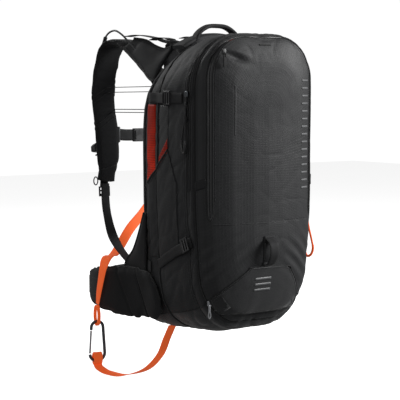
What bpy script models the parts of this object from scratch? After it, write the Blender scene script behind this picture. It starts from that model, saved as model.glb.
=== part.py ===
"""Avalanche airbag backpack, an assembly of separate solids.

Pack coordinates: X across the wearer (-X is the wearer's left), Y through the
pack (-Y is the front panel, +Y the wearer's back), Z up from the base.  Every
object hangs on one empty, which puts the inside of the haul loop at the origin.
"""

import math

import bmesh
import bpy
import numpy as np
from mathutils import Matrix, Vector

# ---------------------------------------------------------------- dimensions
HAUL_Y = -0.050
HAUL_Z = 0.6105

FABRIC = 0.0025
SEAM_GAP = 0.0006
TOUCH_GAP = 0.0004

# Outline rings of the body from the back edge to the middle of the front:
# half width, base, top, base radius, top radius, depth, lean at the top,
# share of the width kept at the base, forward kick at the base.
RINGS = (
    (0.132, 0.004, 0.560, 0.050, 0.115, 0.008, 0.060, 0.95, 0.000),
    (0.140, 0.004, 0.580, 0.075, 0.115, -0.040, 0.045, 0.93, 0.035),
    (0.146, 0.014, 0.588, 0.100, 0.110, -0.150, 0.010, 0.88, 0.010),
    (0.142, 0.030, 0.589, 0.100, 0.105, -0.172, 0.000, 0.88, 0.010),
    (0.129, 0.046, 0.585, 0.085, 0.085, -0.190, 0.000, 0.88, 0.000),
    (0.117, 0.055, 0.580, 0.085, 0.075, -0.200, 0.000, 0.88, 0.000),
    (0.080, 0.110, 0.540, 0.060, 0.060, -0.214, 0.000, 0.90, 0.000),
    (0.035, 0.170, 0.480, 0.030, 0.030, -0.220, 0.000, 0.95, 0.000),
)
LEAN_FROM = 0.38
LEAN_SPAN = 0.22
KICK_TOP = 0.16
TAPER_TOP = 0.30
RING_SIDE, RING_FRONT, RING_LAST = 3.0, 3.15, 7.0

WINDOW_HALF = 0.1225
WINDOW_LOW = 0.2280
WINDOW_HIGH = 0.5830
WINDOW_RADIUS = 0.0780
FOLD_Y = -0.2212
FOLD_Z = 0.2276

WEB_THICK = 0.0016
WEB_NARROW = 0.020
WEB_CHEST = 0.025
WEB_HIP = 0.038
BUCKLE_THICK = 0.0032

PAD_WIDTH = 0.064
PAD_THICK = 0.013
WING_THICK = 0.010

CARTRIDGE_RADIUS = 0.028
CARTRIDGE_LENGTH = 0.200

SPLINE_STEPS = 5

BLACK = (0.030, 0.030, 0.034)
CHARCOAL = (0.045, 0.046, 0.050)
ORANGE = (0.900, 0.150, 0.030)
RED_ORANGE = (0.560, 0.050, 0.020)
GREY = (0.085, 0.092, 0.102)


# ------------------------------------------------------------------- helpers
def clear_scene():
    """Remove every object that the file starts with."""
    for item in list(bpy.data.objects):
        bpy.data.objects.remove(item, do_unlink=True)


def material(name, colour, roughness, metallic=0.0):
    """Make a plain Principled material."""
    made = bpy.data.materials.new(name)
    made.use_nodes = True
    shader = made.node_tree.nodes["Principled BSDF"]
    shader.inputs["Base Color"].default_value = (*colour, 1.0)
    shader.inputs["Roughness"].default_value = roughness
    shader.inputs["Metallic"].default_value = metallic
    made.diffuse_color = (*colour, 1.0)
    return made


def smoothstep(low, high, value):
    """Ease from 0 at low to 1 at high."""
    part = min(max((value - low) / (high - low), 0.0), 1.0)
    return part * part * (3.0 - 2.0 * part)


def place(name, mesh, colour, hang, matrix=None):
    """Link a mesh as a named object under the hanging empty."""
    mesh.materials.append(colour)
    item = bpy.data.objects.new(name, mesh)
    bpy.context.collection.objects.link(item)
    item.parent = hang
    if matrix is not None:
        item.matrix_basis = matrix
    mesh.shade_smooth()
    mesh.set_sharp_from_angle(angle=math.radians(35))
    return item


def finish(bm, name):
    """Turn the faces outwards and store the mesh."""
    bmesh.ops.recalc_face_normals(bm, faces=bm.faces)
    mesh = bpy.data.meshes.new(name)
    bm.to_mesh(mesh)
    bm.free()
    return mesh


def spline(route, steps=SPLINE_STEPS, closed=False):
    """Read points from the smooth curve through a route of points."""
    points = [Vector(point) for point in route]
    count = len(points)
    spans = count if closed else count - 1
    out = []
    for index in range(spans):
        if closed:
            a, b, c, d = (points[(index + k) % count] for k in (-1, 0, 1, 2))
        else:
            b, c = points[index], points[index + 1]
            a = points[index - 1] if index else b + (b - c)
            d = points[index + 2] if index + 2 < count else c + (c - b)
        for step in range(steps):
            t = step / steps
            out.append(0.5 * (2.0 * b + (c - a) * t + (2.0 * a - 5.0 * b + 4.0 * c - d) * t ** 2
                              + (3.0 * b - a - 3.0 * c + d) * t ** 3))
    if not closed:
        out.append(points[-1])
    return out


def frame(origin, along, across):
    """A placement whose X runs across, Y along and Z out of a strap."""
    y_axis = Vector(along).normalized()
    x_axis = Vector(across)
    x_axis = (x_axis - y_axis * x_axis.dot(y_axis)).normalized()
    z_axis = x_axis.cross(y_axis)
    turn = Matrix((x_axis, y_axis, z_axis)).transposed().to_4x4()
    return Matrix.Translation(Vector(origin)) @ turn


# ----------------------------------------------------------- body surfaces
def ring_at(v):
    """The outline ring at position v, blended between its neighbours."""
    low = min(int(v), len(RINGS) - 2)
    share = v - low
    return [a + (b - a) * share for a, b in zip(RINGS[low], RINGS[low + 1])]


def ring_depth(ring, z):
    """Depth of a ring at height z, with its lean and its kick."""
    lean = min(max((z - LEAN_FROM) / LEAN_SPAN, 0.0), 1.5)
    kick = min(max((KICK_TOP - z) / KICK_TOP, 0.0), 1.0)
    return ring[5] - ring[6] * lean ** 2 - ring[8] * kick ** 2


def ring_width(ring, z):
    """Share of a ring's width that is left at height z."""
    return ring[7] + (1.0 - ring[7]) * smoothstep(0.0, TAPER_TOP, z)


def rim(ring, s):
    """Point on a ring: s runs 0-8 up the left side, over the top and back."""
    half, low, high, r_low, r_high = ring[:5]
    corners = (
        ((-half, low + r_low), (-half, high - r_high)),
        ((-half + r_high, high - r_high), 180.0, r_high),
        ((-half + r_high, high), (half - r_high, high)),
        ((half - r_high, high - r_high), 90.0, r_high),
        ((half, high - r_high), (half, low + r_low)),
        ((half - r_low, low + r_low), 0.0, r_low),
        ((half - r_low, low), (-half + r_low, low)),
        ((-half + r_low, low + r_low), -90.0, r_low),
    )
    part = int(s % 8)
    share = (s % 8) - part
    piece = corners[part]
    if len(piece) == 2:
        x = piece[0][0] + (piece[1][0] - piece[0][0]) * share
        z = piece[0][1] + (piece[1][1] - piece[0][1]) * share
    else:
        angle = math.radians(piece[1] - 90.0 * share)
        x = piece[0][0] + piece[2] * math.cos(angle)
        z = piece[0][1] + piece[2] * math.sin(angle)
    return Vector((x * ring_width(ring, z), ring_depth(ring, z), z))


def half_at(ring, z):
    """Half width of a ring at height z, or None above or below it."""
    half, low, high, r_low, r_high = ring[:5]
    if not low < z < high:
        return None
    drop = max(low + r_low - z, 0.0)
    rise = max(z - high + r_high, 0.0)
    if drop:
        half += math.sqrt(r_low ** 2 - drop ** 2) - r_low
    if rise:
        half += math.sqrt(r_high ** 2 - rise ** 2) - r_high
    return half * ring_width(ring, z)


def side_x(y, z):
    """Half width of the body's side at a depth and a height."""
    depths = []
    halves = []
    for ring in RINGS[:5]:
        half = half_at(ring, z)
        if half is not None:
            depths.append(-ring_depth(ring, z))
            halves.append(half)
    return float(np.interp(-y, depths, halves))


def front_y(x, z):
    """Depth of the front panel at a distance across and a height."""
    halves = []
    depths = []
    for ring in reversed(RINGS[3:]):
        half = half_at(ring, z)
        if half is not None:
            halves.append(half)
            depths.append(ring_depth(ring, z))
    return float(np.interp(abs(x), halves, depths))


def back_y(z):
    """Depth of the body's back edge at a height."""
    return ring_depth(RINGS[0], z)


# ------------------------------------------------------------ solid builders
def body_patch(name, s_low, s_high, s_count, colour, hang):
    """A fabric wall: one stretch of the body's rim from back to front seam."""
    bm = bmesh.new()
    stations = (0.0, 0.5, 1.0, 1.5, 2.0, 2.5, RING_SIDE)
    bmesh.ops.create_grid(bm, x_segments=s_count, y_segments=len(stations) - 1, size=1.0)
    for vert in bm.verts:
        s = s_low + (s_high - s_low) * (vert.co.x + 1.0) / 2.0
        v = stations[round((vert.co.y + 1.0) / 2.0 * (len(stations) - 1))]
        vert.co = rim(ring_at(v), s)
    bm.normal_update()
    middle = Vector((0.0, -0.09, 0.29))
    face = next(iter(bm.faces))
    if face.normal.dot(face.calc_center_median() - middle) < 0.0:
        bmesh.ops.reverse_faces(bm, faces=bm.faces)
    mesh = bpy.data.meshes.new(name)
    bm.to_mesh(mesh)
    bm.free()
    item = place(name, mesh, colour, hang)
    wall = item.modifiers.new("Wall", "SOLIDIFY")
    wall.thickness = FABRIC
    wall.offset = -1.0
    return item


def loop_solid(name, loops, thickness, colour, hang):
    """A wall lofted through closed loops, capped at the last, then thickened."""
    bm = bmesh.new()
    rows = [[bm.verts.new(point) for point in loop] for loop in loops]
    for before, after in zip(rows, rows[1:]):
        for k in range(len(before)):
            bm.faces.new((before[k - 1], before[k], after[k], after[k - 1]))
    bm.faces.new(rows[-1])
    bm.normal_update()
    away = [face for face in bm.faces if face.normal.y > 0.0]
    bmesh.ops.reverse_faces(bm, faces=away)
    mesh = bpy.data.meshes.new(name)
    bm.to_mesh(mesh)
    bm.free()
    item = place(name, mesh, colour, hang)
    wall = item.modifiers.new("Wall", "SOLIDIFY")
    wall.thickness = thickness
    wall.offset = -1.0
    return item


RIM_STEPS = (6, 6, 4, 6, 6, 6, 4, 6)


def rim_loop(ring, shift=0.0):
    """All points round one ring, shifted in depth."""
    points = []
    for part, steps in enumerate(RIM_STEPS):
        for step in range(steps):
            points.append(rim(ring, part + step / steps) + Vector((0.0, shift, 0.0)))
    return points


def front_dish(name, shift, thickness, colour, hang):
    """The domed front of the body, a dish open at the back."""
    stations = (RING_FRONT, 3.6, 4.0, 5.0, 5.5, 6.0, RING_LAST)
    loops = [rim_loop(ring_at(v), shift) for v in stations]
    return loop_solid(name, loops, thickness, colour, hang)


def prism(name, outline, y_low, y_high, hang):
    """A hidden cutter: an outline in X and Z run through a stretch of depth."""
    bm = bmesh.new()
    base = bm.faces.new([bm.verts.new((x, y_low, z)) for x, z in outline])
    made = bmesh.ops.extrude_face_region(bm, geom=[base])
    moved = [item for item in made["geom"] if isinstance(item, bmesh.types.BMVert)]
    bmesh.ops.translate(bm, vec=(0.0, y_high - y_low, 0.0), verts=moved)
    bmesh.ops.recalc_face_normals(bm, faces=bm.faces)
    mesh = bpy.data.meshes.new(name)
    bm.to_mesh(mesh)
    bm.free()
    item = bpy.data.objects.new(name, mesh)
    bpy.context.collection.objects.link(item)
    item.parent = hang
    item.hide_render = True
    item.display_type = "WIRE"
    return item


def cut(item, cutter, operation):
    """Cut an object with a hidden cutter."""
    made = item.modifiers.new("Cut", "BOOLEAN")
    made.operation = operation
    made.solver = "EXACT"
    made.object = cutter


def round_outline(half_x, low, high, r_low, r_high, centre_x=0.0, steps=6):
    """A rounded rectangle in X and Z."""
    corners = (
        (-half_x + r_low, low + r_low, r_low, 270.0),
        (-half_x + r_high, high - r_high, r_high, 180.0),
        (half_x - r_high, high - r_high, r_high, 90.0),
        (half_x - r_low, low + r_low, r_low, 0.0),
    )
    points = []
    for x, z, radius, start in corners:
        for step in range(steps + 1):
            angle = math.radians(start - 90.0 * step / steps)
            points.append((centre_x + x + radius * math.cos(angle), z + radius * math.sin(angle)))
    return points


def back_plate(name, outline, shift, thickness, colour, hang):
    """A plate that follows the back: outline in X and Z, thickened to +Y."""
    middle_x = sum(point[0] for point in outline) / len(outline)
    middle_z = sum(point[1] for point in outline) / len(outline)
    loops = []
    for share in (1.0, 0.7, 0.4, 0.15):
        loop = []
        for x, z in outline:
            px = middle_x + (x - middle_x) * share
            pz = middle_z + (z - middle_z) * share
            loop.append((px, back_y(pz) + shift, pz))
        loops.append(loop)
    return loop_solid(name, loops, thickness, colour, hang)


def box(name, size, centre, bevel, colour, hang, matrix=None, segments=2):
    """A box with rounded edges, built round its own origin."""
    bm = bmesh.new()
    bmesh.ops.create_cube(bm, size=1.0)
    bmesh.ops.scale(bm, vec=size, verts=bm.verts)
    bmesh.ops.translate(bm, vec=centre, verts=bm.verts)
    if bevel:
        bmesh.ops.bevel(bm, geom=bm.edges, offset=bevel, segments=segments, profile=0.5,
                        affect="EDGES", material=-1)
    return place(name, finish(bm, name), colour, hang, matrix)


def sweep(name, stations, colour, hang, profile=4, closed_round=False):
    """A solid swept through stations of (centre, across, width, thickness)."""
    bm = bmesh.new()
    radius = 0.5 if closed_round else math.sqrt(0.5)
    bmesh.ops.create_circle(bm, cap_ends=True, segments=profile, radius=radius)
    if not closed_round:
        bmesh.ops.rotate(bm, cent=(0, 0, 0), matrix=Matrix.Rotation(math.pi / profile, 3, "Z"),
                         verts=bm.verts)
    placements = []
    for index, (centre, across, width, thickness) in enumerate(stations):
        before = Vector(stations[max(index - 1, 0)][0])
        after = Vector(stations[min(index + 1, len(stations) - 1)][0])
        along = (after - before).normalized()
        side = Vector(across)
        side = (side - along * side.dot(along)).normalized()
        out = along.cross(side)
        turn = Matrix((side * width, out * thickness, along)).transposed().to_4x4()
        placements.append(Matrix.Translation(Vector(centre)) @ turn)
    bmesh.ops.transform(bm, matrix=placements[0], verts=bm.verts)
    face = next(iter(bm.faces))
    for index, (before, after) in enumerate(zip(placements, placements[1:])):
        made = bmesh.ops.extrude_face_region(bm, geom=[face])["geom"]
        if index:
            bmesh.ops.delete(bm, geom=[face], context="FACES_ONLY")
        verts = [item for item in made if isinstance(item, bmesh.types.BMVert)]
        face = next(item for item in made if isinstance(item, bmesh.types.BMFace))
        bmesh.ops.transform(bm, matrix=after @ before.inverted(), verts=verts)
    return place(name, finish(bm, name), colour, hang)


def ribbon(name, route, across, width, colour, hang, thickness=WEB_THICK, steps=SPLINE_STEPS):
    """Webbing along a smooth route; across is one direction or one a point."""
    points = spline(route, steps)
    if isinstance(across[0], (int, float)):
        sides = [Vector(across)] * len(points)
    else:
        sides = []
        for index in range(len(points)):
            place_on = index / steps
            low = min(int(place_on), len(across) - 2)
            sides.append(Vector(across[low]).lerp(Vector(across[low + 1]), place_on - low))
    stations = [(point, side, width, thickness) for point, side in zip(points, sides)]
    return sweep(name, stations, colour, hang)


def tube(name, points, radius, colour, hang, closed=False, resolution=2):
    """A round cord or bar along points."""
    curve = bpy.data.curves.new(name, "CURVE")
    curve.dimensions = "3D"
    line = curve.splines.new("POLY")
    line.points.add(len(points) - 1)
    for spot, point in zip(line.points, points):
        spot.co = (*point, 1.0)
    line.use_cyclic_u = closed
    curve.bevel_depth = radius
    curve.bevel_resolution = resolution
    curve.use_fill_caps = not closed
    curve.materials.append(colour)
    item = bpy.data.objects.new(name, curve)
    bpy.context.collection.objects.link(item)
    item.parent = hang
    return item


def cell_plate(name, x_cuts, y_cuts, empty, thickness, colour, hang, matrix, bevel=0.0006):
    """A flat moulding cut in cells; the empty cells are windows or gaps."""
    bm = bmesh.new()
    columns, rows = len(x_cuts) - 1, len(y_cuts) - 1
    bmesh.ops.create_grid(bm, x_segments=columns, y_segments=rows, size=1.0)
    gone = []
    for face in bm.faces:
        spot = face.calc_center_median()
        cell = (int((spot.x + 1.0) / 2.0 * columns), int((spot.y + 1.0) / 2.0 * rows))
        if cell in empty:
            gone.append(face)
    for vert in bm.verts:
        column = round((vert.co.x + 1.0) / 2.0 * columns)
        row = round((vert.co.y + 1.0) / 2.0 * rows)
        vert.co = (x_cuts[column], y_cuts[row], -thickness / 2.0)
    bmesh.ops.delete(bm, geom=gone, context="FACES")
    made = bmesh.ops.extrude_face_region(bm, geom=bm.faces[:])["geom"]
    verts = [item for item in made if isinstance(item, bmesh.types.BMVert)]
    bmesh.ops.translate(bm, vec=(0.0, 0.0, thickness), verts=verts)
    bmesh.ops.recalc_face_normals(bm, faces=bm.faces)
    if bevel:
        sharp = [edge for edge in bm.edges if edge.calc_face_angle(0.0) > 1.0
                 and abs(edge.verts[0].co.z - edge.verts[1].co.z) < 1e-6]
        bmesh.ops.bevel(bm, geom=sharp, offset=bevel, segments=1, profile=0.5,
                        affect="EDGES", material=-1)
    return place(name, finish(bm, name), colour, hang, matrix)


def ladder_lock(name, width, matrix, colour, hang):
    """A tilt buckle: frame, middle bar and thumb lip; it tilts about its tail bar."""
    half = width / 2.0
    x_cuts = (-half - 0.0035, -half - 0.0005, half + 0.0005, half + 0.0035)
    y_cuts = (-0.0015, 0.0015, 0.0060, 0.0095, 0.0140, 0.0200)
    return cell_plate(name, x_cuts, y_cuts, {(1, 1), (1, 3)}, BUCKLE_THICK, colour, hang, matrix)


def buckle_female(name, width, length, height, matrix, colour, hang):
    """A side-release socket: a box open at its mouth, with a web slot behind."""
    outer = box(name, (width, length, height), (0.0, -length / 2.0, 0.0), 0.0015, colour, hang,
                matrix)
    inner = box(name + ".mouth", (width - 0.006, length * 0.66, height - 0.0036),
                (0.0, -length * 0.32, 0.0), 0.0, colour, hang, matrix)
    slot = box(name + ".slot", (width - 0.009, 0.004, height * 2.0),
               (0.0, -length * 0.86, 0.0), 0.0, colour, hang, matrix)
    for cutter in (inner, slot):
        cutter.hide_render = True
        cutter.display_type = "WIRE"
        cut(outer, cutter, "DIFFERENCE")
    return outer


def buckle_male(name, width, length, thickness, matrix, colour, hang):
    """A side-release plug: body with a web slot and three prongs towards -Y."""
    half = width / 2.0
    x_cuts = (-half, -half + 0.0030, -half + 0.0065, -0.0022, 0.0022, half - 0.0065,
              half - 0.0030, half)
    y_cuts = (-length * 0.62, 0.0015, length * 0.22, length * 0.30, length * 0.38)
    gaps = {(0, 0), (2, 0), (4, 0), (6, 0)} | {(column, 2) for column in range(1, 6)}
    return cell_plate(name, x_cuts, y_cuts, gaps, thickness, colour, hang, matrix, 0.0)


# ------------------------------------------------------------ sub-assemblies
def build_shell(hang, tones):
    """Fabric walls, front flap, base panel, back panel and the pads on it."""
    gap = 0.002
    body_patch("side_panel_left", -0.5 + gap, 1.5 - gap, 14, tones["fabric"], hang)
    body_patch("top_panel", 1.5 + gap, 3.5 - gap, 12, tones["fabric"], hang)
    body_patch("side_panel_right", 3.5 + gap, 5.5 - gap, 14, tones["fabric"], hang)
    body_patch("bottom_panel", 5.5 + 5.0 * gap, 7.5 - 5.0 * gap, 12, tones["fabric"], hang)

    wall = front_dish("front_wall", 0.0, FABRIC, tones["fabric"], hang)
    window = prism("window_cutter", round_outline(WINDOW_HALF, WINDOW_LOW - 2.0 * SEAM_GAP,
                   WINDOW_HIGH, 0.004, WINDOW_RADIUS), -0.30, -0.16, hang)
    cut(wall, window, "DIFFERENCE")
    flap = front_dish("front_flap", 0.0, FABRIC, tones["fabric"], hang)
    leaf = prism("flap_cutter", round_outline(WINDOW_HALF - 2.0 * SEAM_GAP, WINDOW_LOW,
                 WINDOW_HIGH - 2.0 * SEAM_GAP, 0.004, WINDOW_RADIUS), -0.30, -0.16, hang)
    cut(flap, leaf, "INTERSECT")
    pocket = front_dish("front_base_pocket", -0.0022, 0.0012, tones["base"], hang)
    outline = ((-0.100, 0.064), (-0.108, 0.085), (-0.050, 0.134), (-0.034, 0.143),
               (0.049, 0.139), (0.066, 0.124), (0.084, 0.090), (0.076, 0.064))
    cut(pocket, prism("pocket_cutter", outline, -0.30, -0.16, hang), "INTERSECT")

    panel = back_plate("back_panel", [(point.x, point.z) for point in rim_loop(RINGS[0])],
                       0.0015, 0.010, tones["mesh"], hang)
    port = round_outline(0.006, 0.494, 0.506, 0.0059, 0.0059, -0.090, 3)
    cut(panel, prism("port_cutter", port, -0.03, 0.03, hang), "DIFFERENCE")
    for side, label in ((-1.0, "left"), (1.0, "right")):
        pad = round_outline(0.037, 0.170, 0.418, 0.018, 0.026, side * 0.058, 4)
        back_plate("back_pad_" + label, pad, 0.0120, 0.012, tones["pad"], hang)
    lumbar = round_outline(0.098, 0.040, 0.156, 0.030, 0.030, 0.0, 4)
    back_plate("lumbar_pad", lumbar, 0.0120, 0.017, tones["pad"], hang)
    sheet = round_outline(0.100, 0.055, 0.430, 0.024, 0.040, 0.0, 4)
    back_plate("frame_sheet", sheet, -0.0085, 0.002, tones["plastic"], hang)


def build_airbag(hang, tones):
    """Folded balloon, gas cylinder, valve, ejector and the release it is fired by."""
    box("airbag_pack", (0.176, 0.066, 0.074), (0.0, -0.087, 0.493), 0.018, tones["lining"], hang,
        segments=3)

    bm = bmesh.new()
    profile = ((0.0, 0.105), (0.014, 0.1065), (0.0235, 0.111), (CARTRIDGE_RADIUS, 0.120),
               (CARTRIDGE_RADIUS, 0.262), (0.0255, 0.274), (0.0180, 0.286), (0.0110, 0.293),
               (0.0095, 0.299), (0.0095, 0.105 + CARTRIDGE_LENGTH), (0.0, 0.105 + CARTRIDGE_LENGTH))
    turned(bm, profile, 20)
    place("gas_cartridge", finish(bm, "gas_cartridge"), tones["steel"], hang,
          Matrix.Translation((-0.074, -0.062, 0.0)))
    bm = bmesh.new()
    turned(bm, ((0.0, 0.3055), (0.0125, 0.3055), (0.0125, 0.318), (0.0085, 0.320),
                (0.0085, 0.3445), (0.0, 0.3445)), 16)
    place("cartridge_valve", finish(bm, "cartridge_valve"), tones["brass"], hang,
          Matrix.Translation((-0.074, -0.062, 0.0)))
    box("ejector_housing", (0.062, 0.050, 0.074), (-0.074, -0.065, 0.382), 0.006,
        tones["plastic"], hang)
    lever = Matrix.Translation((-0.060, -0.0925, 0.400))
    box("release_lever", (0.009, 0.003, 0.038), (0.0, 0.0, -0.008), 0.0008, tones["steel"], hang,
        lever, 1)

    route = ((-0.0780, -0.0960, 0.4150), (-0.0960, -0.0960, 0.4300), (-0.1010, -0.0800, 0.4560),
             (-0.1010, -0.0500, 0.4800), (-0.0960, -0.0220, 0.4960), (-0.0900, 0.0040, 0.5010),
             (-0.0820, 0.0400, 0.5200), (-0.0840, 0.0980, 0.5530), (-0.0870, 0.1350, 0.5790),
             (-0.0890, 0.1650, 0.5990), (-0.0900, 0.1950, 0.6080), (-0.0915, 0.2250, 0.5950),
             (-0.0930, 0.2440, 0.5520), (-0.0965, 0.2475, 0.5050), (-0.0985, 0.2430, 0.4620),
             (-0.0995, 0.2320, 0.4280), (-0.1000, 0.2278, 0.4160))
    tube("release_cable", spline(route, 4), 0.0020, tones["rubber"], hang)

    along = Vector((0.002, 0.015, 0.053)).normalized()
    seat = frame((-0.100, 0.2125, 0.402), along, (-1.0, 0.0, 0.0))
    box("trigger_socket", (0.026, 0.026, 0.011), (0.0, -0.002, 0.0132), 0.0025,
        tones["plastic"], hang, seat)
    box("trigger_handle", (0.030, 0.034, 0.021), (0.0, -0.034, 0.0225), 0.005,
        tones["plastic"], hang, seat)


def turned(bm, profile, steps):
    """Turn a profile of radius and height round the Z axis."""
    verts = [bm.verts.new((radius, 0.0, z)) for radius, z in profile]
    edges = [bm.edges.new(pair) for pair in zip(verts, verts[1:])]
    bmesh.ops.spin(bm, geom=verts + edges, cent=(0, 0, 0), axis=(0, 0, 1), angle=math.tau,
                   steps=steps, use_merge=True)
    bmesh.ops.remove_doubles(bm, verts=bm.verts, dist=1e-6)


def build_shoulder(hang, tones, side, label):
    """One shoulder strap: pad, load lifter, ladder locks and lower webbing."""
    def flip(route):
        return [(side * -x, y, z) for x, y, z in route]

    middle = flip(((-0.055, 0.0245, 0.432), (-0.057, 0.0290, 0.468), (-0.060, 0.0520, 0.499),
                   (-0.062, 0.0980, 0.531), (-0.066, 0.1290, 0.556), (-0.072, 0.1590, 0.576),
                   (-0.078, 0.1890, 0.585), (-0.084, 0.2150, 0.570), (-0.090, 0.2270, 0.530),
                   (-0.095, 0.2310, 0.482), (-0.098, 0.2230, 0.439), (-0.100, 0.2080, 0.386),
                   (-0.103, 0.2000, 0.332), (-0.106, 0.2050, 0.285)))
    points = spline(middle, 3)
    last = len(points) - 1
    stations = []
    for index, point in enumerate(points):
        width = PAD_WIDTH * (1.0 - 0.30 * smoothstep(0.88, 1.0, index / last))
        stations.append((point, (1.0, 0.0, 0.0), width, PAD_THICK))
    sweep("shoulder_pad_" + label, stations, tones["pad"], hang)

    lifter = flip(((-0.0715, 0.1680, 0.5950), (-0.0660, 0.1300, 0.5965), (-0.0600, 0.0800, 0.5895),
                   (-0.0578, 0.0480, 0.5804), (-0.0570, 0.0300, 0.5770), (-0.0550, -0.0240, 0.5675)))
    ribbon("load_lifter_" + label, lifter, (1.0, 0.0, 0.0), WEB_NARROW, tones["web"], hang, steps=3)
    seat = frame((side * 0.0560, 0.0160, 0.5795), (0.0, 0.982, 0.180), (1.0, 0.0, 0.0))
    ladder_lock("load_lifter_buckle_" + label, WEB_NARROW, seat, tones["plastic"], hang)

    lower = flip(((-0.1068, 0.2056, 0.2820), (-0.1080, 0.2030, 0.2480), (-0.1105, 0.1920, 0.2160),
                  (-0.1146, 0.1650, 0.1743), (-0.1250, 0.1150, 0.1481), (-0.1348, 0.0700, 0.1327)))
    twist = ((1.0, 0.0, 0.0), (1.0, 0.0, 0.0), (1.0, 0.0, 0.0), (0.75, 0.0, side * -0.65),
             (0.2, 0.0, side * -1.0), (0.0, 0.0, side * -1.0))
    ribbon("shoulder_webbing_" + label, lower, twist, WEB_NARROW, tones["web"], hang, steps=4)
    seat = frame((side * 0.1072, 0.2092, 0.2740), (0.0, -0.06, -1.0), (1.0, 0.0, 0.0))
    ladder_lock("shoulder_buckle_" + label, WEB_NARROW, seat, tones["plastic"], hang)


def build_chest(hang, tones):
    """Sternum strap halves and their side-release buckle."""
    ribbon("sternum_strap_left", ((-0.0665, 0.2120, 0.3860), (-0.0480, 0.2170, 0.3845),
           (-0.0270, 0.2195, 0.3840)), (0.0, 0.0, 1.0), WEB_CHEST, tones["web"], hang, steps=3)
    ribbon("sternum_strap_right", ((0.0665, 0.2110, 0.3860), (0.0480, 0.2160, 0.3845),
           (0.0300, 0.2160, 0.3840), (0.0030, 0.2160, 0.3840)), (0.0, 0.0, 1.0), WEB_CHEST,
           tones["web"], hang, steps=3)
    seat = frame((0.0, 0.2195, 0.3840), (1.0, 0.0, 0.0), (0.0, 0.0, 1.0))
    buckle_female("sternum_buckle_female", 0.029, 0.026, 0.0080, seat, tones["plastic"], hang)
    buckle_male("sternum_buckle_male", 0.029, 0.026, 0.0038, seat, tones["plastic"], hang)


def build_hip(hang, tones):
    """Padded hip wings, their webbing and the side-release buckle."""
    for side, label in ((-1.0, "left"), (1.0, "right")):
        route = [(side * x, y, z) for x, y, z in (
            (0.1390, -0.052, 0.036), (0.1400, -0.030, 0.052), (0.1410, 0.000, 0.068),
            (0.1480, 0.040, 0.072), (0.1590, 0.080, 0.072), (0.1650, 0.130, 0.071),
            (0.1590, 0.168, 0.070), (0.1500, 0.192, 0.070))]
        heights = (0.030, 0.070, 0.108, 0.116, 0.110, 0.096, 0.082, 0.062)
        points = spline(route, 3)
        stations = []
        for index, point in enumerate(points):
            spot = index / 3
            low = min(int(spot), len(heights) - 2)
            height = heights[low] + (heights[low + 1] - heights[low]) * (spot - low)
            stations.append((point, (0.0, 0.0, 1.0), height, WING_THICK))
        sweep("hip_wing_" + label, stations, tones["pad"], hang)

    along = Vector((0.78, 0.62, 0.0)).normalized()
    out = Vector((0.0, 0.0, 1.0)).cross(along)
    mouth = Vector((-0.1020, 0.2440, 0.0700))
    seat = frame(mouth, along, (0.0, 0.0, 1.0))
    length = 0.042
    buckle_female("hip_buckle_female", 0.046, length, 0.0110, seat, tones["plastic"], hang)
    buckle_male("hip_buckle_male", 0.046, length, 0.0060, seat, tones["plastic"], hang)
    tail = mouth - along * (length + 0.0008)
    ribbon("hip_webbing_left", (tail, tail - along * 0.006, (-0.1470, 0.2010, 0.0700)),
           (0.0, 0.0, 1.0), WEB_HIP, tones["web"], hang, steps=3)
    inner = out * -0.0046
    ribbon("hip_webbing_right", (mouth + along * 0.0025 + inner, mouth + along * 0.026 + inner,
           mouth + along * 0.056 + inner * 1.25, (-0.0180, 0.2900, 0.0700),
           (0.0300, 0.2910, 0.0700),
           (0.0880, 0.2680, 0.0700), (0.1300, 0.2300, 0.0700), (0.1470, 0.2005, 0.0700)),
           (0.0, 0.0, 1.0), WEB_HIP, tones["web"], hang, steps=4)


LEG_UPPER = ((0.0840, 0.2125, 0.3310), (0.0420, 0.2140, 0.2700), (-0.0060, 0.2090, 0.2150),
             (-0.0478, 0.2000, 0.1802), (-0.0896, 0.1750, 0.1480), (-0.1250, 0.1450, 0.1345),
             (-0.1480, 0.1220, 0.1370), (-0.1665, 0.1060, 0.1340), (-0.1775, 0.1010, 0.1165),
             (-0.1795, 0.1080, 0.0880), (-0.1786, 0.1180, 0.0600), (-0.1788, 0.1220, 0.0386))
LEG_LOWER = ((-0.1788, 0.1245, -0.0879), (-0.1765, 0.1180, -0.0965), (-0.1640, 0.1020, -0.1055),
             (-0.1390, 0.0790, -0.1090), (-0.1064, 0.0500, -0.0957), (-0.0861, 0.0280, -0.0649),
             (-0.0807, 0.0100, -0.0269), (-0.0780, -0.0060, 0.0020))
HOOK_X, HOOK_Y, HOOK_UP = -0.1788, 0.1245, 0.0221
HOOK_TURN = math.radians(-11.0)
LEG_TWIST = ((1.0, 0.0, 0.0), (1.0, 0.0, 0.0), (1.0, 0.0, 0.0), (1.0, -0.1, 0.0),
             (0.95, -0.30, 0.0), (0.80, -0.60, 0.0), (0.73, -0.68, 0.0), (0.60, -0.78, -0.15),
             (0.15, -0.90, -0.25), (0.0, -0.93, -0.33), (0.0, -0.97, -0.20), (0.0, -1.0, 0.0))


def hook_point(u, z):
    """A point in the upright plane of the carabiner."""
    return Vector((HOOK_X + u * math.cos(HOOK_TURN), HOOK_Y + u * math.sin(HOOK_TURN),
                   z + HOOK_UP))


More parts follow.
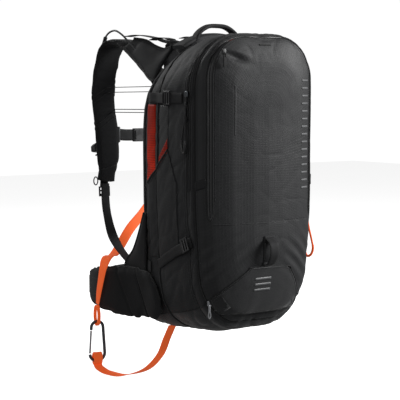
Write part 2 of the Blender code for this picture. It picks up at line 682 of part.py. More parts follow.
def build_leg_loop(hang, tones):
    """Leg strap in two lengths, its ring, and the carabiner between them."""
    ribbon("leg_strap_upper", LEG_UPPER, LEG_TWIST, WEB_NARROW, tones["orange"], hang, steps=4)
    ribbon("leg_strap_lower", LEG_LOWER, (1.0, 0.0, 0.0), WEB_NARROW, tones["orange"], hang,
           steps=4)

    bm = bmesh.new()
    bmesh.ops.create_grid(bm, x_segments=1, y_segments=1, size=1.0)
    for vert in bm.verts:
        vert.co = (vert.co.x * 0.005, 0.0, 0.0120 + vert.co.y * 0.0011)
    bmesh.ops.delete(bm, geom=bm.faces[:], context="FACES_ONLY")
    bmesh.ops.spin(bm, geom=bm.verts[:] + bm.edges[:], cent=(0, 0, 0), axis=(1, 0, 0),
                   angle=math.tau, steps=24, use_merge=True)
    bmesh.ops.scale(bm, vec=(1.0, 1.0, 1.75), verts=bm.verts)
    bmesh.ops.remove_doubles(bm, verts=bm.verts, dist=1e-6)
    turn = Matrix.Translation((HOOK_X, HOOK_Y, HOOK_UP - 0.0080)) @ Matrix.Rotation(HOOK_TURN, 4, "Z")
    place("leg_ring", finish(bm, "leg_ring"), tones["orange"], hang, turn)

    top_z, top_r = -0.0335, 0.0130
    base_z, base_r = -0.0880, 0.0165
    points = []
    for step in range(13):
        angle = math.radians(188.0 + 172.0 * step / 12)
        points.append(hook_point(base_r * math.cos(angle), base_z + base_r * math.sin(angle)))
    for share in (0.33, 0.67):
        points.append(hook_point(base_r + (top_r - base_r) * share,
                                 base_z + (top_z - base_z) * share))
    for step in range(12):
        angle = math.radians(180.0 * step / 11)
        points.append(hook_point(top_r * math.cos(angle), top_z + top_r * math.sin(angle)))
    points.append(hook_point(-top_r - 0.0002, top_z - 0.0045))
    tube("carabiner_body", points, 0.0032, tones["grey"], hang, resolution=3)
    low = hook_point(-base_r + 0.0001, base_z + 0.0008)
    high = hook_point(-top_r - 0.0004, top_z - 0.0062)
    gate = tube("carabiner_gate", [low - low, (high - low) * 0.5, high - low], 0.0021,
                tones["bright"], hang)
    gate.location = low


def build_straps(hang, tones):
    """Haul loop, compression straps with their tilt buckles, axe loop, pullers."""
    top = HAUL_Z + WEB_THICK / 2.0 + TOUCH_GAP
    ribbon("haul_loop", ((-0.058, HAUL_Y, 0.5745), (-0.046, HAUL_Y, 0.5960),
           (-0.024, HAUL_Y, top - 0.0025), (0.0, HAUL_Y, top), (0.024, HAUL_Y, top - 0.0025),
           (0.046, HAUL_Y, 0.5960), (0.058, HAUL_Y, 0.5745)), (0.0, 1.0, 0.0), WEB_NARROW,
           tones["web"], hang, steps=3)

    for side, label in ((-1.0, "left"), (1.0, "right")):
        route = [(side * (side_x(y, 0.466) + 0.0032), y, 0.466)
                 for y in (-0.004, -0.030, -0.055, -0.080, -0.110, -0.138)]
        ribbon("compression_strap_top_" + label, route, (0.0, 0.0, 1.0), WEB_NARROW,
               tones["web"], hang, steps=2)
        seat = frame((side * (side_x(-0.092, 0.466) + 0.0074), -0.1000, 0.466), (0.0, 1.0, 0.0),
                     (0.0, 0.0, -side))
        ladder_lock("compression_buckle_top_" + label, WEB_NARROW, seat, tones["plastic"], hang)

        slope = Vector((0.0, 0.909, -0.417))
        route = []
        for share in (0.0, 0.25, 0.5, 0.75, 1.0):
            spot = Vector((0.0, -0.040, 0.137)).lerp(Vector((0.0, -0.163, 0.1934)), share)
            route.append((side * (side_x(spot.y, spot.z) + 0.0036), spot.y, spot.z))
        across = (0.0, 0.417, 0.909)
        ribbon("compression_strap_low_" + label, route, across, WEB_NARROW, tones["web"], hang,
               steps=2)
        spot = Vector((0.0, -0.1560, 0.1902)) + slope * (0.0 if side < 0.0 else 0.030)
        seat = frame((side * (side_x(spot.y + 0.008, spot.z - 0.004) + 0.0080), spot.y, spot.z),
                     slope, Vector(across) * -side)
        ladder_lock("compression_buckle_low_" + label, WEB_NARROW, seat, tones["plastic"], hang)

    ribbon("ice_axe_loop", ((0.0, -0.2222, 0.1960), (0.0, -0.2290, 0.1930), (0.0, -0.2370, 0.1860),
           (0.0, -0.2390, 0.1740), (0.0, -0.2370, 0.1620), (0.0, -0.2300, 0.1500),
           (0.0, -0.2255, 0.1460)), (1.0, 0.0, 0.0), 0.022, tones["web"], hang, steps=3)

    box("flap_zip_pull", (0.0075, 0.0022, 0.0280), (0.0, 0.0, -0.0125), 0.0008, tones["web"], hang,
        Matrix.Translation((-0.1000, -0.2105, 0.5500)), 1)
    corner = rim(RINGS[3], 7.6)
    box("base_zip_pull", (0.0070, 0.0022, 0.0290), (0.0, 0.0, -0.0130), 0.0008, tones["bright"],
        hang, Matrix.Translation((corner.x - 0.0030, corner.y - 0.0065, corner.z + 0.0010)), 1)
    pulls = (("side_zip_pull_left", -1.0, 0.470, 0.0035, tones["web"]),
             ("side_zip_pull_right", 1.0, 0.250, 0.0125, tones["orange"]))
    for name, side, top_z, offset, colour in pulls:
        shape = ((0.0, 0.0), (0.0016, -0.012), (0.0017, -0.040), (0.0060, -0.072),
                 (0.0078, -0.090), (0.0050, -0.103), (0.0, -0.1075))
        middle = Vector((side * (side_x(-0.1545, top_z - 0.06) + offset), -0.1545, top_z))
        loop = [Vector((0.0, y, z)) for y, z in shape]
        loop += [Vector((0.0, -y, z)) for y, z in reversed(shape[1:-1])]
        pull = tube(name, spline(loop, 3, True), 0.0012, colour, hang, True)
        pull.location = middle


def build():
    """Make the whole backpack."""
    clear_scene()
    hang = bpy.data.objects.new("hanging_point", None)
    bpy.context.collection.objects.link(hang)
    hang.location = (0.0, -HAUL_Y, -HAUL_Z)
    tones = {
        "fabric": material("fabric_charcoal", CHARCOAL, 0.75),
        "base": material("fabric_base", (0.050, 0.051, 0.055), 0.70),
        "mesh": material("fabric_mesh", BLACK, 0.90),
        "pad": material("fabric_pad", BLACK, 0.85),
        "lining": material("lining_red_orange", RED_ORANGE, 0.60),
        "web": material("webbing_black", BLACK, 0.80),
        "orange": material("webbing_orange", ORANGE, 0.70),
        "plastic": material("plastic_black", (0.020, 0.020, 0.022), 0.45),
        "rubber": material("rubber_black", (0.015, 0.015, 0.016), 0.60),
        "steel": material("steel_satin", (0.420, 0.430, 0.450), 0.35, 1.0),
        "bright": material("steel_bright", (0.550, 0.560, 0.580), 0.25, 1.0),
        "brass": material("brass", (0.700, 0.480, 0.180), 0.35, 1.0),
        "grey": material("metal_dark_grey", GREY, 0.35, 1.0),
    }
    build_shell(hang, tones)
    build_airbag(hang, tones)
    build_shoulder(hang, tones, -1.0, "left")
    build_shoulder(hang, tones, 1.0, "right")
    build_chest(hang, tones)
    build_hip(hang, tones)
    build_leg_loop(hang, tones)
    build_straps(hang, tones)
    bpy.context.view_layer.update()


build()
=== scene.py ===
"""Looks of an avalanche airbag backpack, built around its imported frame.

Pack coordinates, used by every shape below: X across the wearer (-X is the
wearer's left), Y through the pack (-Y is the front panel), Z up from the base.
ORIGIN_SHIFT moves a finished mesh into the frame, whose origin is the inside
of the haul loop.
"""

import math

import bmesh
import bpy
import numpy as np
from bpy.props import FloatProperty, FloatVectorProperty, IntProperty, PointerProperty
from mathutils import Matrix, Vector, noise
from mathutils.bvhtree import BVHTree


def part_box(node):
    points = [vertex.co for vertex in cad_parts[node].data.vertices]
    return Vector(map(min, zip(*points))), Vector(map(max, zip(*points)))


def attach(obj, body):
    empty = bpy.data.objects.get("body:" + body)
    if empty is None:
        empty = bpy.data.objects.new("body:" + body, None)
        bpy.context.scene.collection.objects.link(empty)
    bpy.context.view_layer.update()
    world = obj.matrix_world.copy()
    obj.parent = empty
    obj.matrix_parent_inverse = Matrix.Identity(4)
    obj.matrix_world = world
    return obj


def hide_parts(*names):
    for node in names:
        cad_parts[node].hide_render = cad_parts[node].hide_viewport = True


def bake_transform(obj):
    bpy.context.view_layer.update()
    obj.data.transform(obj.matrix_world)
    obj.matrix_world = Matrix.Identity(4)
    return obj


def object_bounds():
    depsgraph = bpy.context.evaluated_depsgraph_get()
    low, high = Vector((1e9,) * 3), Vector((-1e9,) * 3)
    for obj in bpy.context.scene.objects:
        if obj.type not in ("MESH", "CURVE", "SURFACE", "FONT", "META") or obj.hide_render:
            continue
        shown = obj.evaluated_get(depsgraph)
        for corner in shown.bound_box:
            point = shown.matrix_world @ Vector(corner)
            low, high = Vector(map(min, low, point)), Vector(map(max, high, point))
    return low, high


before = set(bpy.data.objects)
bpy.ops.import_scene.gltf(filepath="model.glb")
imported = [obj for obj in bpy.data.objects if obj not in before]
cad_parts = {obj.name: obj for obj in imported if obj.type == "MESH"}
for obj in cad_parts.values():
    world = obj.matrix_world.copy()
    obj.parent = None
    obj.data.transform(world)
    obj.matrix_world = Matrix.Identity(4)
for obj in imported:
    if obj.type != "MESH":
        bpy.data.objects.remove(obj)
CAD_BOX = [[float(value) for value in corner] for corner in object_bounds()]

bl_info = {
    "name": "Airbag Backpack",
    "version": (1, 0, 0),
    "blender": (4, 5, 0),
    "location": "View3D > Sidebar > Backpack",
    "description": "Builds the soft goods and finishes of an avalanche airbag backpack",
    "category": "Object",
}

ORIGIN_SHIFT = Vector((0.0, 0.050, -0.6105))
HAUL_Y, HAUL_Z = -0.050, 0.6105

# Outline rings of the body from the back edge to the middle of the front:
# half width, base, top, base radius, top radius, depth, lean at the top,
# share of the width kept at the base, forward kick at the base.
RINGS = (
    (0.132, 0.004, 0.560, 0.050, 0.115, 0.008, 0.060, 0.95, 0.000),
    (0.140, 0.004, 0.580, 0.075, 0.115, -0.040, 0.045, 0.93, 0.035),
    (0.146, 0.014, 0.588, 0.100, 0.110, -0.150, 0.010, 0.88, 0.010),
    (0.142, 0.030, 0.589, 0.100, 0.105, -0.172, 0.000, 0.88, 0.010),
    (0.129, 0.046, 0.585, 0.085, 0.085, -0.190, 0.000, 0.88, 0.000),
    (0.117, 0.055, 0.580, 0.085, 0.075, -0.200, 0.000, 0.88, 0.000),
    (0.080, 0.110, 0.540, 0.060, 0.060, -0.214, 0.000, 0.90, 0.000),
    (0.035, 0.170, 0.480, 0.030, 0.030, -0.220, 0.000, 0.95, 0.000),
    (0.001, 0.205, 0.445, 0.001, 0.001, -0.2215, 0.000, 0.97, 0.000),
)
LEAN_FROM, LEAN_SPAN, KICK_TOP, TAPER_TOP = 0.38, 0.22, 0.16, 0.30
FOLD_Y, FOLD_Z = -0.2212, 0.2276
LINE_PIPING, LINE_ZIP, LINE_SEAM = 1.0, 2.22, 3.0
BAND_MIDDLE, BAND_HALF, BAND_END = 4.5, 0.44, 0.250
RING_LAST = 8.0
SHELL_FROM, SHELL_TO = -0.35, 5.35

LEG_UPPER = ((0.0840, 0.2125, 0.3310), (0.0420, 0.2140, 0.2700), (-0.0060, 0.2090, 0.2150),
             (-0.0478, 0.2000, 0.1802), (-0.0896, 0.1750, 0.1480), (-0.1250, 0.1450, 0.1345),
             (-0.1480, 0.1220, 0.1370), (-0.1665, 0.1060, 0.1340), (-0.1775, 0.1010, 0.1165),
             (-0.1795, 0.1080, 0.0880), (-0.1786, 0.1180, 0.0600), (-0.1788, 0.1220, 0.0386))
LEG_LOWER = ((-0.1788, 0.1245, -0.0879), (-0.1765, 0.1180, -0.0965), (-0.1640, 0.1020, -0.1055),
             (-0.1390, 0.0790, -0.1090), (-0.1064, 0.0500, -0.0957), (-0.0861, 0.0280, -0.0649),
             (-0.0807, 0.0100, -0.0269), (-0.0780, -0.0060, 0.0020))
HOOK_X, HOOK_Y, HOOK_UP = -0.1788, 0.1245, 0.0221
HOOK_TURN = math.radians(-11.0)
LEG_TWIST = ((1.0, 0.0, 0.0), (1.0, 0.0, 0.0), (1.0, 0.0, 0.0), (1.0, -0.1, 0.0),
             (0.95, -0.30, 0.0), (0.80, -0.60, 0.0), (0.73, -0.68, 0.0), (0.60, -0.78, -0.15),
             (0.15, -0.90, -0.25), (0.0, -0.93, -0.33), (0.0, -0.97, -0.20), (0.0, -1.0, 0.0))

PAD_ROUTE = ((-0.055, 0.0245, 0.432), (-0.057, 0.0290, 0.468), (-0.060, 0.0520, 0.499),
             (-0.062, 0.0980, 0.531), (-0.066, 0.1290, 0.556), (-0.072, 0.1590, 0.576),
             (-0.078, 0.1890, 0.585), (-0.084, 0.2150, 0.570), (-0.090, 0.2270, 0.530),
             (-0.095, 0.2310, 0.482), (-0.098, 0.2230, 0.439), (-0.100, 0.2080, 0.386),
             (-0.103, 0.2000, 0.332), (-0.106, 0.2050, 0.285))
LIFTER_ROUTE = ((-0.0715, 0.1680, 0.5950), (-0.0660, 0.1300, 0.5965), (-0.0600, 0.0800, 0.5895),
                (-0.0578, 0.0480, 0.5804), (-0.0570, 0.0300, 0.5770), (-0.0550, -0.0240, 0.5675))
WEB_ROUTE = ((-0.1068, 0.2056, 0.2820), (-0.1080, 0.2030, 0.2480), (-0.1105, 0.1920, 0.2160),
             (-0.1146, 0.1650, 0.1743), (-0.1250, 0.1150, 0.1481), (-0.1348, 0.0700, 0.1327))
CABLE_ROUTE = ((-0.0780, -0.0960, 0.4150), (-0.0960, -0.0960, 0.4300), (-0.1010, -0.0800, 0.4560),
               (-0.1010, -0.0500, 0.4800), (-0.0960, -0.0220, 0.4960), (-0.0900, 0.0040, 0.5010),
               (-0.0820, 0.0400, 0.5200), (-0.0840, 0.0980, 0.5530), (-0.0870, 0.1350, 0.5790),
               (-0.0890, 0.1650, 0.5990), (-0.0900, 0.1950, 0.6080), (-0.0915, 0.2250, 0.5950),
               (-0.0930, 0.2440, 0.5520), (-0.0965, 0.2475, 0.5050), (-0.0985, 0.2430, 0.4620),
               (-0.0995, 0.2320, 0.4280), (-0.1000, 0.2278, 0.4160))
WING_ROUTE = ((0.1390, -0.052, 0.036), (0.1400, -0.030, 0.052), (0.1410, 0.000, 0.068),
              (0.1480, 0.040, 0.072), (0.1590, 0.080, 0.072), (0.1650, 0.130, 0.071),
              (0.1590, 0.168, 0.070), (0.1500, 0.192, 0.070))
WING_HEIGHTS = (0.030, 0.070, 0.108, 0.116, 0.110, 0.096, 0.082, 0.062)
HIP_MOUTH = Vector((-0.1020, 0.2440, 0.0700))
HIP_ALONG = Vector((0.78, 0.62, 0.0)).normalized()

PATCH_OUTLINE = ((-0.092, 0.050), (-0.113, 0.083), (-0.050, 0.134), (-0.034, 0.1425),
                 (0.049, 0.139), (0.064, 0.128), (0.086, 0.094), (0.092, 0.050))


# -------------------------------------------------------------------- settings
class BackpackSizes(bpy.types.PropertyGroup):
    """Sizes of the soft goods."""

    cloth: FloatProperty(name="Cloth", description="Thickness of the shell cloth",
                         default=0.0011, min=0.0004, max=0.003, unit="LENGTH")
    webbing: FloatProperty(name="Webbing", description="Thickness of flat webbing",
                           default=0.0016, min=0.0008, max=0.004, unit="LENGTH")
    narrow_web: FloatProperty(name="Narrow webbing", description="Width of strap webbing",
                              default=0.020, min=0.010, max=0.040, unit="LENGTH")
    chest_web: FloatProperty(name="Chest webbing", description="Width of the sternum strap",
                             default=0.025, min=0.010, max=0.040, unit="LENGTH")
    hip_web: FloatProperty(name="Hip webbing", description="Width of the hip belt webbing",
                           default=0.038, min=0.020, max=0.060, unit="LENGTH")
    pad_width: FloatProperty(name="Shoulder pad width", description="Width of a shoulder pad",
                             default=0.064, min=0.040, max=0.090, unit="LENGTH")
    pad_thick: FloatProperty(name="Shoulder pad thickness",
                             description="Thickness of a shoulder pad",
                             default=0.013, min=0.006, max=0.020, unit="LENGTH")
    spacing: FloatProperty(name="Cloth mesh spacing",
                           description="Distance between the points of the shell cloth",
                           default=0.0042, min=0.002, max=0.02, unit="LENGTH")
    crease: FloatProperty(name="Creases", description="Strength of the creases in the cloth",
                          default=1.0, min=0.0, max=3.0, subtype="FACTOR")
    swell_frames: IntProperty(name="Swell frames",
                              description="Frames that a pad is blown up for",
                              default=20, min=5, max=60)


class BackpackColours(bpy.types.PropertyGroup):
    """Colours of the cloths, webbing and fittings."""

    shell: FloatVectorProperty(name="Shell", description="Colour of the shell cloth",
                               default=(0.0165, 0.0170, 0.0180), size=3, min=0.0, max=1.0,
                               subtype="COLOR")
    base: FloatVectorProperty(name="Base", description="Colour of the base cloth",
                              default=(0.0150, 0.0155, 0.0165), size=3, min=0.0, max=1.0,
                              subtype="COLOR")
    harness: FloatVectorProperty(name="Harness", description="Colour of the harness cloth",
                                 default=(0.0085, 0.0088, 0.0095), size=3, min=0.0, max=1.0,
                                 subtype="COLOR")
    webbing: FloatVectorProperty(name="Webbing", description="Colour of the dark webbing",
                                 default=(0.0090, 0.0092, 0.0100), size=3, min=0.0, max=1.0,
                                 subtype="COLOR")
    signal: FloatVectorProperty(name="Signal webbing", description="Colour of the leg loop",
                                default=(0.940, 0.135, 0.028), size=3, min=0.0, max=1.0,
                                subtype="COLOR")
    lining: FloatVectorProperty(name="Lining", description="Colour of the lining cloth",
                                default=(0.700, 0.028, 0.005), size=3, min=0.0, max=1.0,
                                subtype="COLOR")
    plastic: FloatVectorProperty(name="Plastic", description="Colour of the moulded fittings",
                                 default=(0.0110, 0.0110, 0.0120), size=3, min=0.0, max=1.0,
                                 subtype="COLOR")
    mark: FloatVectorProperty(name="Mark", description="Colour of the plain printed bars",
                              default=(0.085, 0.087, 0.090), size=3, min=0.0, max=1.0,
                              subtype="COLOR")


def sizes():
    """The sizes that the sidebar holds."""
    return bpy.context.scene.backpack_sizes


def colours():
    """The colours that the sidebar holds."""
    return bpy.context.scene.backpack_colours


# ---------------------------------------------------------------------- curves
def smoothstep(low, high, value):
    """Ease from 0 at low to 1 at high."""
    part = min(max((value - low) / (high - low), 0.0), 1.0)
    return part * part * (3.0 - 2.0 * part)


def bell(value, middle, reach):
    """A bump of height 1 round a middle."""
    return math.exp(-((value - middle) / reach) ** 2)


def catmull(a, b, c, d, t):
    """A point between b and c on the smooth curve through four points."""
    return 0.5 * (2.0 * b + (c - a) * t + (2.0 * a - 5.0 * b + 4.0 * c - d) * t ** 2
                  + (3.0 * b - a - 3.0 * c + d) * t ** 3)


def spline(route, steps=8, closed=False):
    """Points read from the smooth curve through a route of points."""
    points = [Vector(point) for point in route]
    count = len(points)
    out = []
    for index in range(count if closed else count - 1):
        if closed:
            a, b, c, d = (points[(index + k) % count] for k in (-1, 0, 1, 2))
        else:
            b, c = points[index], points[index + 1]
            a = points[index - 1] if index else b + (b - c)
            d = points[index + 2] if index + 2 < count else c + (c - b)
        out += [catmull(a, b, c, d, step / steps) for step in range(steps)]
    return out if closed else out + [points[-1]]


def flipped(route, side):
    """A left-hand route, or its mirror image for the right."""
    return [(side * -x, y, z) for x, y, z in route]


def length_of(points):
    """Length of a run of points."""
    return sum((after - before).length for before, after in zip(points, points[1:]))


def spread(values, steps):
    """Values read evenly between a few given ones."""
    places = np.linspace(0.0, len(values) - 1.0, steps)
    return [float(np.interp(place, range(len(values)), values)) for place in places]


# ---------------------------------------------------------------- body surface
def ring_at(v):
    """The outline ring at position v, on smooth curves through the rings."""
    low = min(int(v), len(RINGS) - 2)
    share = v - low
    rows = [RINGS[min(max(low + k, 0), len(RINGS) - 1)] for k in (-1, 0, 1, 2)]
    if low >= 6:
        return [b + (c - b) * share for b, c in zip(rows[1], rows[2])]
    return [catmull(a, b, c, d, share) for a, b, c, d in zip(*rows)]


RING_CACHE = {}


def ring(v):
    """The ring at v, kept for the next time."""
    if v not in RING_CACHE:
        RING_CACHE[v] = ring_at(v)
    return RING_CACHE[v]


def rim(shape, s):
    """Point on a ring: s runs 0-8 up the left side, over the top and back."""
    half, low, high, r_low, r_high = shape[:5]
    part = int((s % 8) // 1)
    share = (s % 8) - part
    if part in (0, 4):
        rise = share if part == 0 else 1.0 - share
        x = half * (-1.0 if part == 0 else 1.0)
        z = low + r_low + (high - r_high - low - r_low) * rise
    elif part in (2, 6):
        run = -1.0 + 2.0 * share if part == 2 else 1.0 - 2.0 * share
        radius = r_high if part == 2 else r_low
        x = (half - radius) * run
        z = high if part == 2 else low
    else:
        start = {1: 180.0, 3: 90.0, 5: 0.0, 7: -90.0}[part]
        radius = r_high if part in (1, 3) else r_low
        angle = math.radians(start - 90.0 * share)
        x = (half - radius) * (-1.0 if part in (1, 7) else 1.0) + radius * math.cos(angle)
        z = (high - r_high if part in (1, 3) else low + r_low) + radius * math.sin(angle)
    keep = shape[7] + (1.0 - shape[7]) * smoothstep(0.0, TAPER_TOP, z)
    lean = min(max((z - LEAN_FROM) / LEAN_SPAN, 0.0), 1.5)
    kick = min(max((KICK_TOP - z) / KICK_TOP, 0.0), 1.0)
    return Vector((x * keep, shape[5] - shape[6] * lean ** 2 - shape[8] * kick ** 2, z))


def band(v, z):
    """1 inside the zip band of the front flap, 0 outside it, round at its ends."""
    across = (v - BAND_MIDDLE) / BAND_HALF
    below = max(BAND_END - z, 0.0) / 0.016
    return 1.0 - smoothstep(0.86, 1.0, math.hypot(across, below))


def relief(v, spot):
    """How far the cloth stands out from its pattern at a place."""
    x, y, z = spot
    strength = sizes().crease
    out = 0.0
    for line, reach, pull in ((1.0, 0.10, 0.0010), (2.0, 0.16, 0.0012), (3.0, 0.16, 0.0016)):
        out -= pull * bell(v, line, reach)
    if v < 4.0:
        swell = (0.0014, 0.0030, 0.0012, 0.0020)[int(v)]
        out += swell * math.sin(math.pi * (v % 1.0))
    if v < 3.2:
        out -= 0.0022 * bell(v, LINE_ZIP, 0.09) * smoothstep(0.24, 0.27, z)
    strap = bell(z, 0.466, 0.017) + bell(z - 0.137 + (y + 0.040) * 0.4585, 0.0, 0.019)
    if v < 3.0 and abs(x) > 0.10:
        out -= 0.0022 * strap * smoothstep(0.6, 1.2, v)
    broad = noise.noise(Vector((x * 8.0, y * 10.0, z * 7.0 + 3.0)))
    lean = Vector((x * 15.0 + 4.0, y * 34.0 + z * 24.0, z * 11.0 - y * 9.0))
    ridge = max(1.0 - abs(noise.noise(lean)) * 3.2, 0.0) ** 2
    other = Vector((x * 30.0 - z * 16.0, y * 22.0, z * 24.0 + x * 14.0 + 9.0))
    fine = max(1.0 - abs(noise.noise(other)) * 3.4, 0.0) ** 2
    low = 1.0 - smoothstep(0.12, 0.24, z)
    if v < 3.0:
        share = 0.75 + 0.5 * smoothstep(0.42, 0.54, z) + 0.5 * low
        out += strength * share * (0.0016 * broad - 0.0015 * ridge - 0.0006 * fine)
    else:
        edge = 1.0 - smoothstep(3.2, 6.2, v)
        share = 0.25 + 0.8 * low * edge + 0.5 * smoothstep(0.50, 0.57, z)
        out += strength * (0.0012 * broad - share * (0.0013 * ridge + 0.0008 * fine))
        run = (z - 0.165) + 0.80 * (abs(x) - 0.090)
        near = bell(abs(x), 0.092, 0.038) * bell(z, 0.150, 0.040)
        out += strength * 0.0016 * math.sin(run * 210.0 + 2.0 * broad) * near
        out -= 0.0050 * bell(x, -0.068, 0.020) * bell(z + 0.30 * (x + 0.068), 0.541, 0.0065)
        out += 0.0018 * bell(x, -0.070, 0.030) * bell(z + 0.20 * (x + 0.070), 0.553, 0.006)
    if 3.7 < v < 5.3:
        out -= 0.0026 * band(v, z)
        if z > BAND_END:
            out -= 0.0012 * bell(v, BAND_MIDDLE, 0.05)
    return out


def skin(s, v, lift=0.0):
    """A point of the cloth, lifted along its outward direction."""
    spot = rim(ring(v), s)
    ahead = rim(ring(v), s + 0.01) - rim(ring(v), s - 0.01)
    low, high = max(v - 0.04, 0.0), min(v + 0.04, RING_LAST)
    through = rim(ring(round(high, 4)), s) - rim(ring(round(low, 4)), s)
    out = through.cross(ahead)
    out = out.normalized() if out.length > 1e-9 and v < 7.9 else Vector((0.0, -1.0, 0.0))
    return spot + out * (relief(v, spot) + lift)


PART_LENGTHS = (0.46, 0.17, 0.09, 0.17, 0.46, 0.14, 0.12, 0.14)


def rim_places(s_from, s_to, spacing, fine=False):
    """Values of s about one spacing apart along the rim."""
    places = []
    part = math.floor(s_from)
    while part < s_to:
        steps = math.ceil(PART_LENGTHS[int(part % 8)] / spacing)
        values = [part + step / steps for step in range(steps)]
        if fine and part % 8 in (0, 4):
            extra = [0.24 + 0.0045 * step for step in range(28)]
            values += [part + (value if part % 8 == 0 else 1.0 - value) for value in extra]
        places += [value for value in values if s_from < value < s_to]
        part += 1
    return sorted({round(value, 5) for value in [s_from, *places, s_to]})


# ----------------------------------------------------------------- mesh making
def grid(columns, rows, place, chart, kind=None):
    """A sheet whose columns and rows stand where two lists of values say."""
    bm = bmesh.new()
    bmesh.ops.create_grid(bm, x_segments=len(columns) - 1, y_segments=len(rows) - 1, size=1.0)
    layer = bm.loops.layers.uv.new("UVMap")
    index = {}
    for vert in bm.verts:
        i = round((vert.co.x + 1.0) / 2.0 * (len(columns) - 1))
        j = round((vert.co.y + 1.0) / 2.0 * (len(rows) - 1))
        index[vert] = (i, j)
    for face in bm.faces:
        for corner in face.loops:
            corner[layer].uv = chart(*index[corner.vert])
        if kind:
            face.material_index = kind(min(index[vert][0] for vert in face.verts),
                                       min(index[vert][1] for vert in face.verts))
    for vert, (i, j) in index.items():
        vert.co = place(i, j)
    return bm


def body_sheet(s_places, v_places, lift=0.0, kind=None):
    """Cloth over a stretch of the body, charted in metres."""
    s_mid = (s_places[0] + s_places[-1]) / 2.0
    v_mid = min((v_places[0] + v_places[-1]) / 2.0, 4.5)
    along = [rim(ring(v_mid), s) for s in s_places]
    through = [rim(ring(v), 0.5 if s_mid < 5.4 else 6.5) for v in v_places]
    u_marks = np.cumsum([0.0] + [(b - a).length for a, b in zip(along, along[1:])])
    v_marks = np.cumsum([0.0] + [(b - a).length for a, b in zip(through, through[1:])])
    return grid(s_places, v_places, lambda i, j: skin(s_places[i], v_places[j], lift),
                lambda i, j: (u_marks[i], v_marks[j]), kind)


def turned_outwards(bm, middle):
    """Turn an open sheet so that its faces look away from a middle point."""
    bm.normal_update()
    score = sum(face.normal.dot(face.calc_center_median() - middle) * face.calc_area()
                for face in bm.faces)
    if score < 0.0:
        bmesh.ops.reverse_faces(bm, faces=bm.faces[:])
    return bm


BODY_MIDDLE = Vector((0.0, -0.09, 0.29))


def flat_profile(edge=0.30):
    """Cross-section of webbing: flat, with soft edges."""
    return ((-0.5, 0.0), (-0.492, -edge), (-0.47, -0.5), (-0.24, -0.5), (0.0, -0.5), (0.24, -0.5),
            (0.47, -0.5), (0.492, -edge), (0.5, 0.0), (0.492, edge), (0.47, 0.5), (0.24, 0.5),
            (0.0, 0.5), (-0.24, 0.5), (-0.47, 0.5), (-0.492, edge))


def round_profile(count=10):
    """Cross-section of a cord."""
    return [(0.5 * math.cos(math.tau * k / count), 0.5 * math.sin(math.tau * k / count))
            for k in range(count)]


def pad_profile(count=36, square=0.50, crown=0.75):
    """Cross-section of a crowned pad with tight edges."""
    out = []
    for k in range(count):
        angle = math.tau * k / count
        x, y = math.cos(angle), math.sin(angle)
        out.append((0.5 * math.copysign(abs(x) ** square, x),
                    0.5 * math.copysign(abs(y) ** crown, y)))
    return out


def swept(points, across, widths, thicknesses, profile, closed=False):
    """A closed body swept along points, charted in metres along and round it."""
    count = len(points)
    if isinstance(widths, float):
        widths = [widths] * count
    if isinstance(thicknesses, float):
        thicknesses = [thicknesses] * count
    if isinstance(across[0], (int, float)):
        across = [across] * count
    frames = []
    for index in range(count):
        before = points[index - 1] if index or closed else points[0]
        after = points[(index + 1) % count] if index + 1 < count or closed else points[-1]
        along = (Vector(after) - Vector(before)).normalized()
        side = Vector(across[index])
        side = (side - along * side.dot(along)).normalized()
        frames.append((Vector(points[index]), side * widths[index],
                       along.cross(side) * thicknesses[index]))
    marks = [0.0]
    for before, after in zip(frames, frames[1:] + frames[:1]):
        marks.append(marks[-1] + (after[0] - before[0]).length)
    total = len(profile)
    girth = [0.0]
    for k in range(total):
        a, b = profile[k], profile[(k + 1) % total]
        girth.append(girth[-1] + math.hypot((b[0] - a[0]) * widths[0],
                                            (b[1] - a[1]) * thicknesses[0]))

    def place(i, j):
        centre, side, out = frames[j % count]
        a, b = profile[i % total]
        return centre + side * a + out * b

    rows = list(range(count + 1 if closed else count))
    bm = grid(range(total + 1), rows, place, lambda i, j: (girth[i], marks[j]))
    bmesh.ops.remove_doubles(bm, verts=bm.verts, dist=1e-7)
    if not closed:
        edges = [edge for edge in bm.edges if edge.is_boundary]
        bmesh.ops.holes_fill(bm, edges=edges, sides=0)
    bmesh.ops.recalc_face_normals(bm, faces=bm.faces)
    return bm


def cord_normals(points):
    """Sideways directions for a cord that has no width of its own."""
    side = Vector((0.31, 0.22, 0.92))
    out = []
    for before, after in zip(points, points[1:] + points[-1:]):
        along = (after - before)
        if along.length > 1e-9:
            along.normalize()
            side = (side - along * side.dot(along)).normalized()
        out.append(side.copy())
    return out


def round_cord(points, radius, closed=False, count=10):
    """A round cord or tube along points."""
    points = [Vector(point) for point in points]
    sides = [Vector((0.31, 0.22, 0.92))] * len(points) if closed else cord_normals(points)
    return swept(points, sides, 2.0 * radius, 2.0 * radius, round_profile(count), closed)


def block(size, centre, bevel, matrix=Matrix.Identity(4), segments=3):
    """A moulded block with rounded edges."""
    bm = bmesh.new()
    bmesh.ops.create_cube(bm, size=1.0, calc_uvs=True)
    bmesh.ops.scale(bm, vec=size, verts=bm.verts)
    bmesh.ops.translate(bm, vec=centre, verts=bm.verts)
    if bevel:
        bmesh.ops.bevel(bm, geom=bm.edges[:], offset=bevel, segments=segments, profile=0.5,
                        affect="EDGES", material=-1)
    bmesh.ops.transform(bm, matrix=matrix, verts=bm.verts)
    return bm


def axes(origin, along, across):
    """A placement whose X runs across, Y along and Z out of a strap."""
    y_axis = Vector(along).normalized()
    x_axis = Vector(across)
    x_axis = (x_axis - y_axis * x_axis.dot(y_axis)).normalized()
    turn = Matrix((x_axis, y_axis, x_axis.cross(y_axis))).transposed().to_4x4()
    return Matrix.Translation(Vector(origin)) @ turn


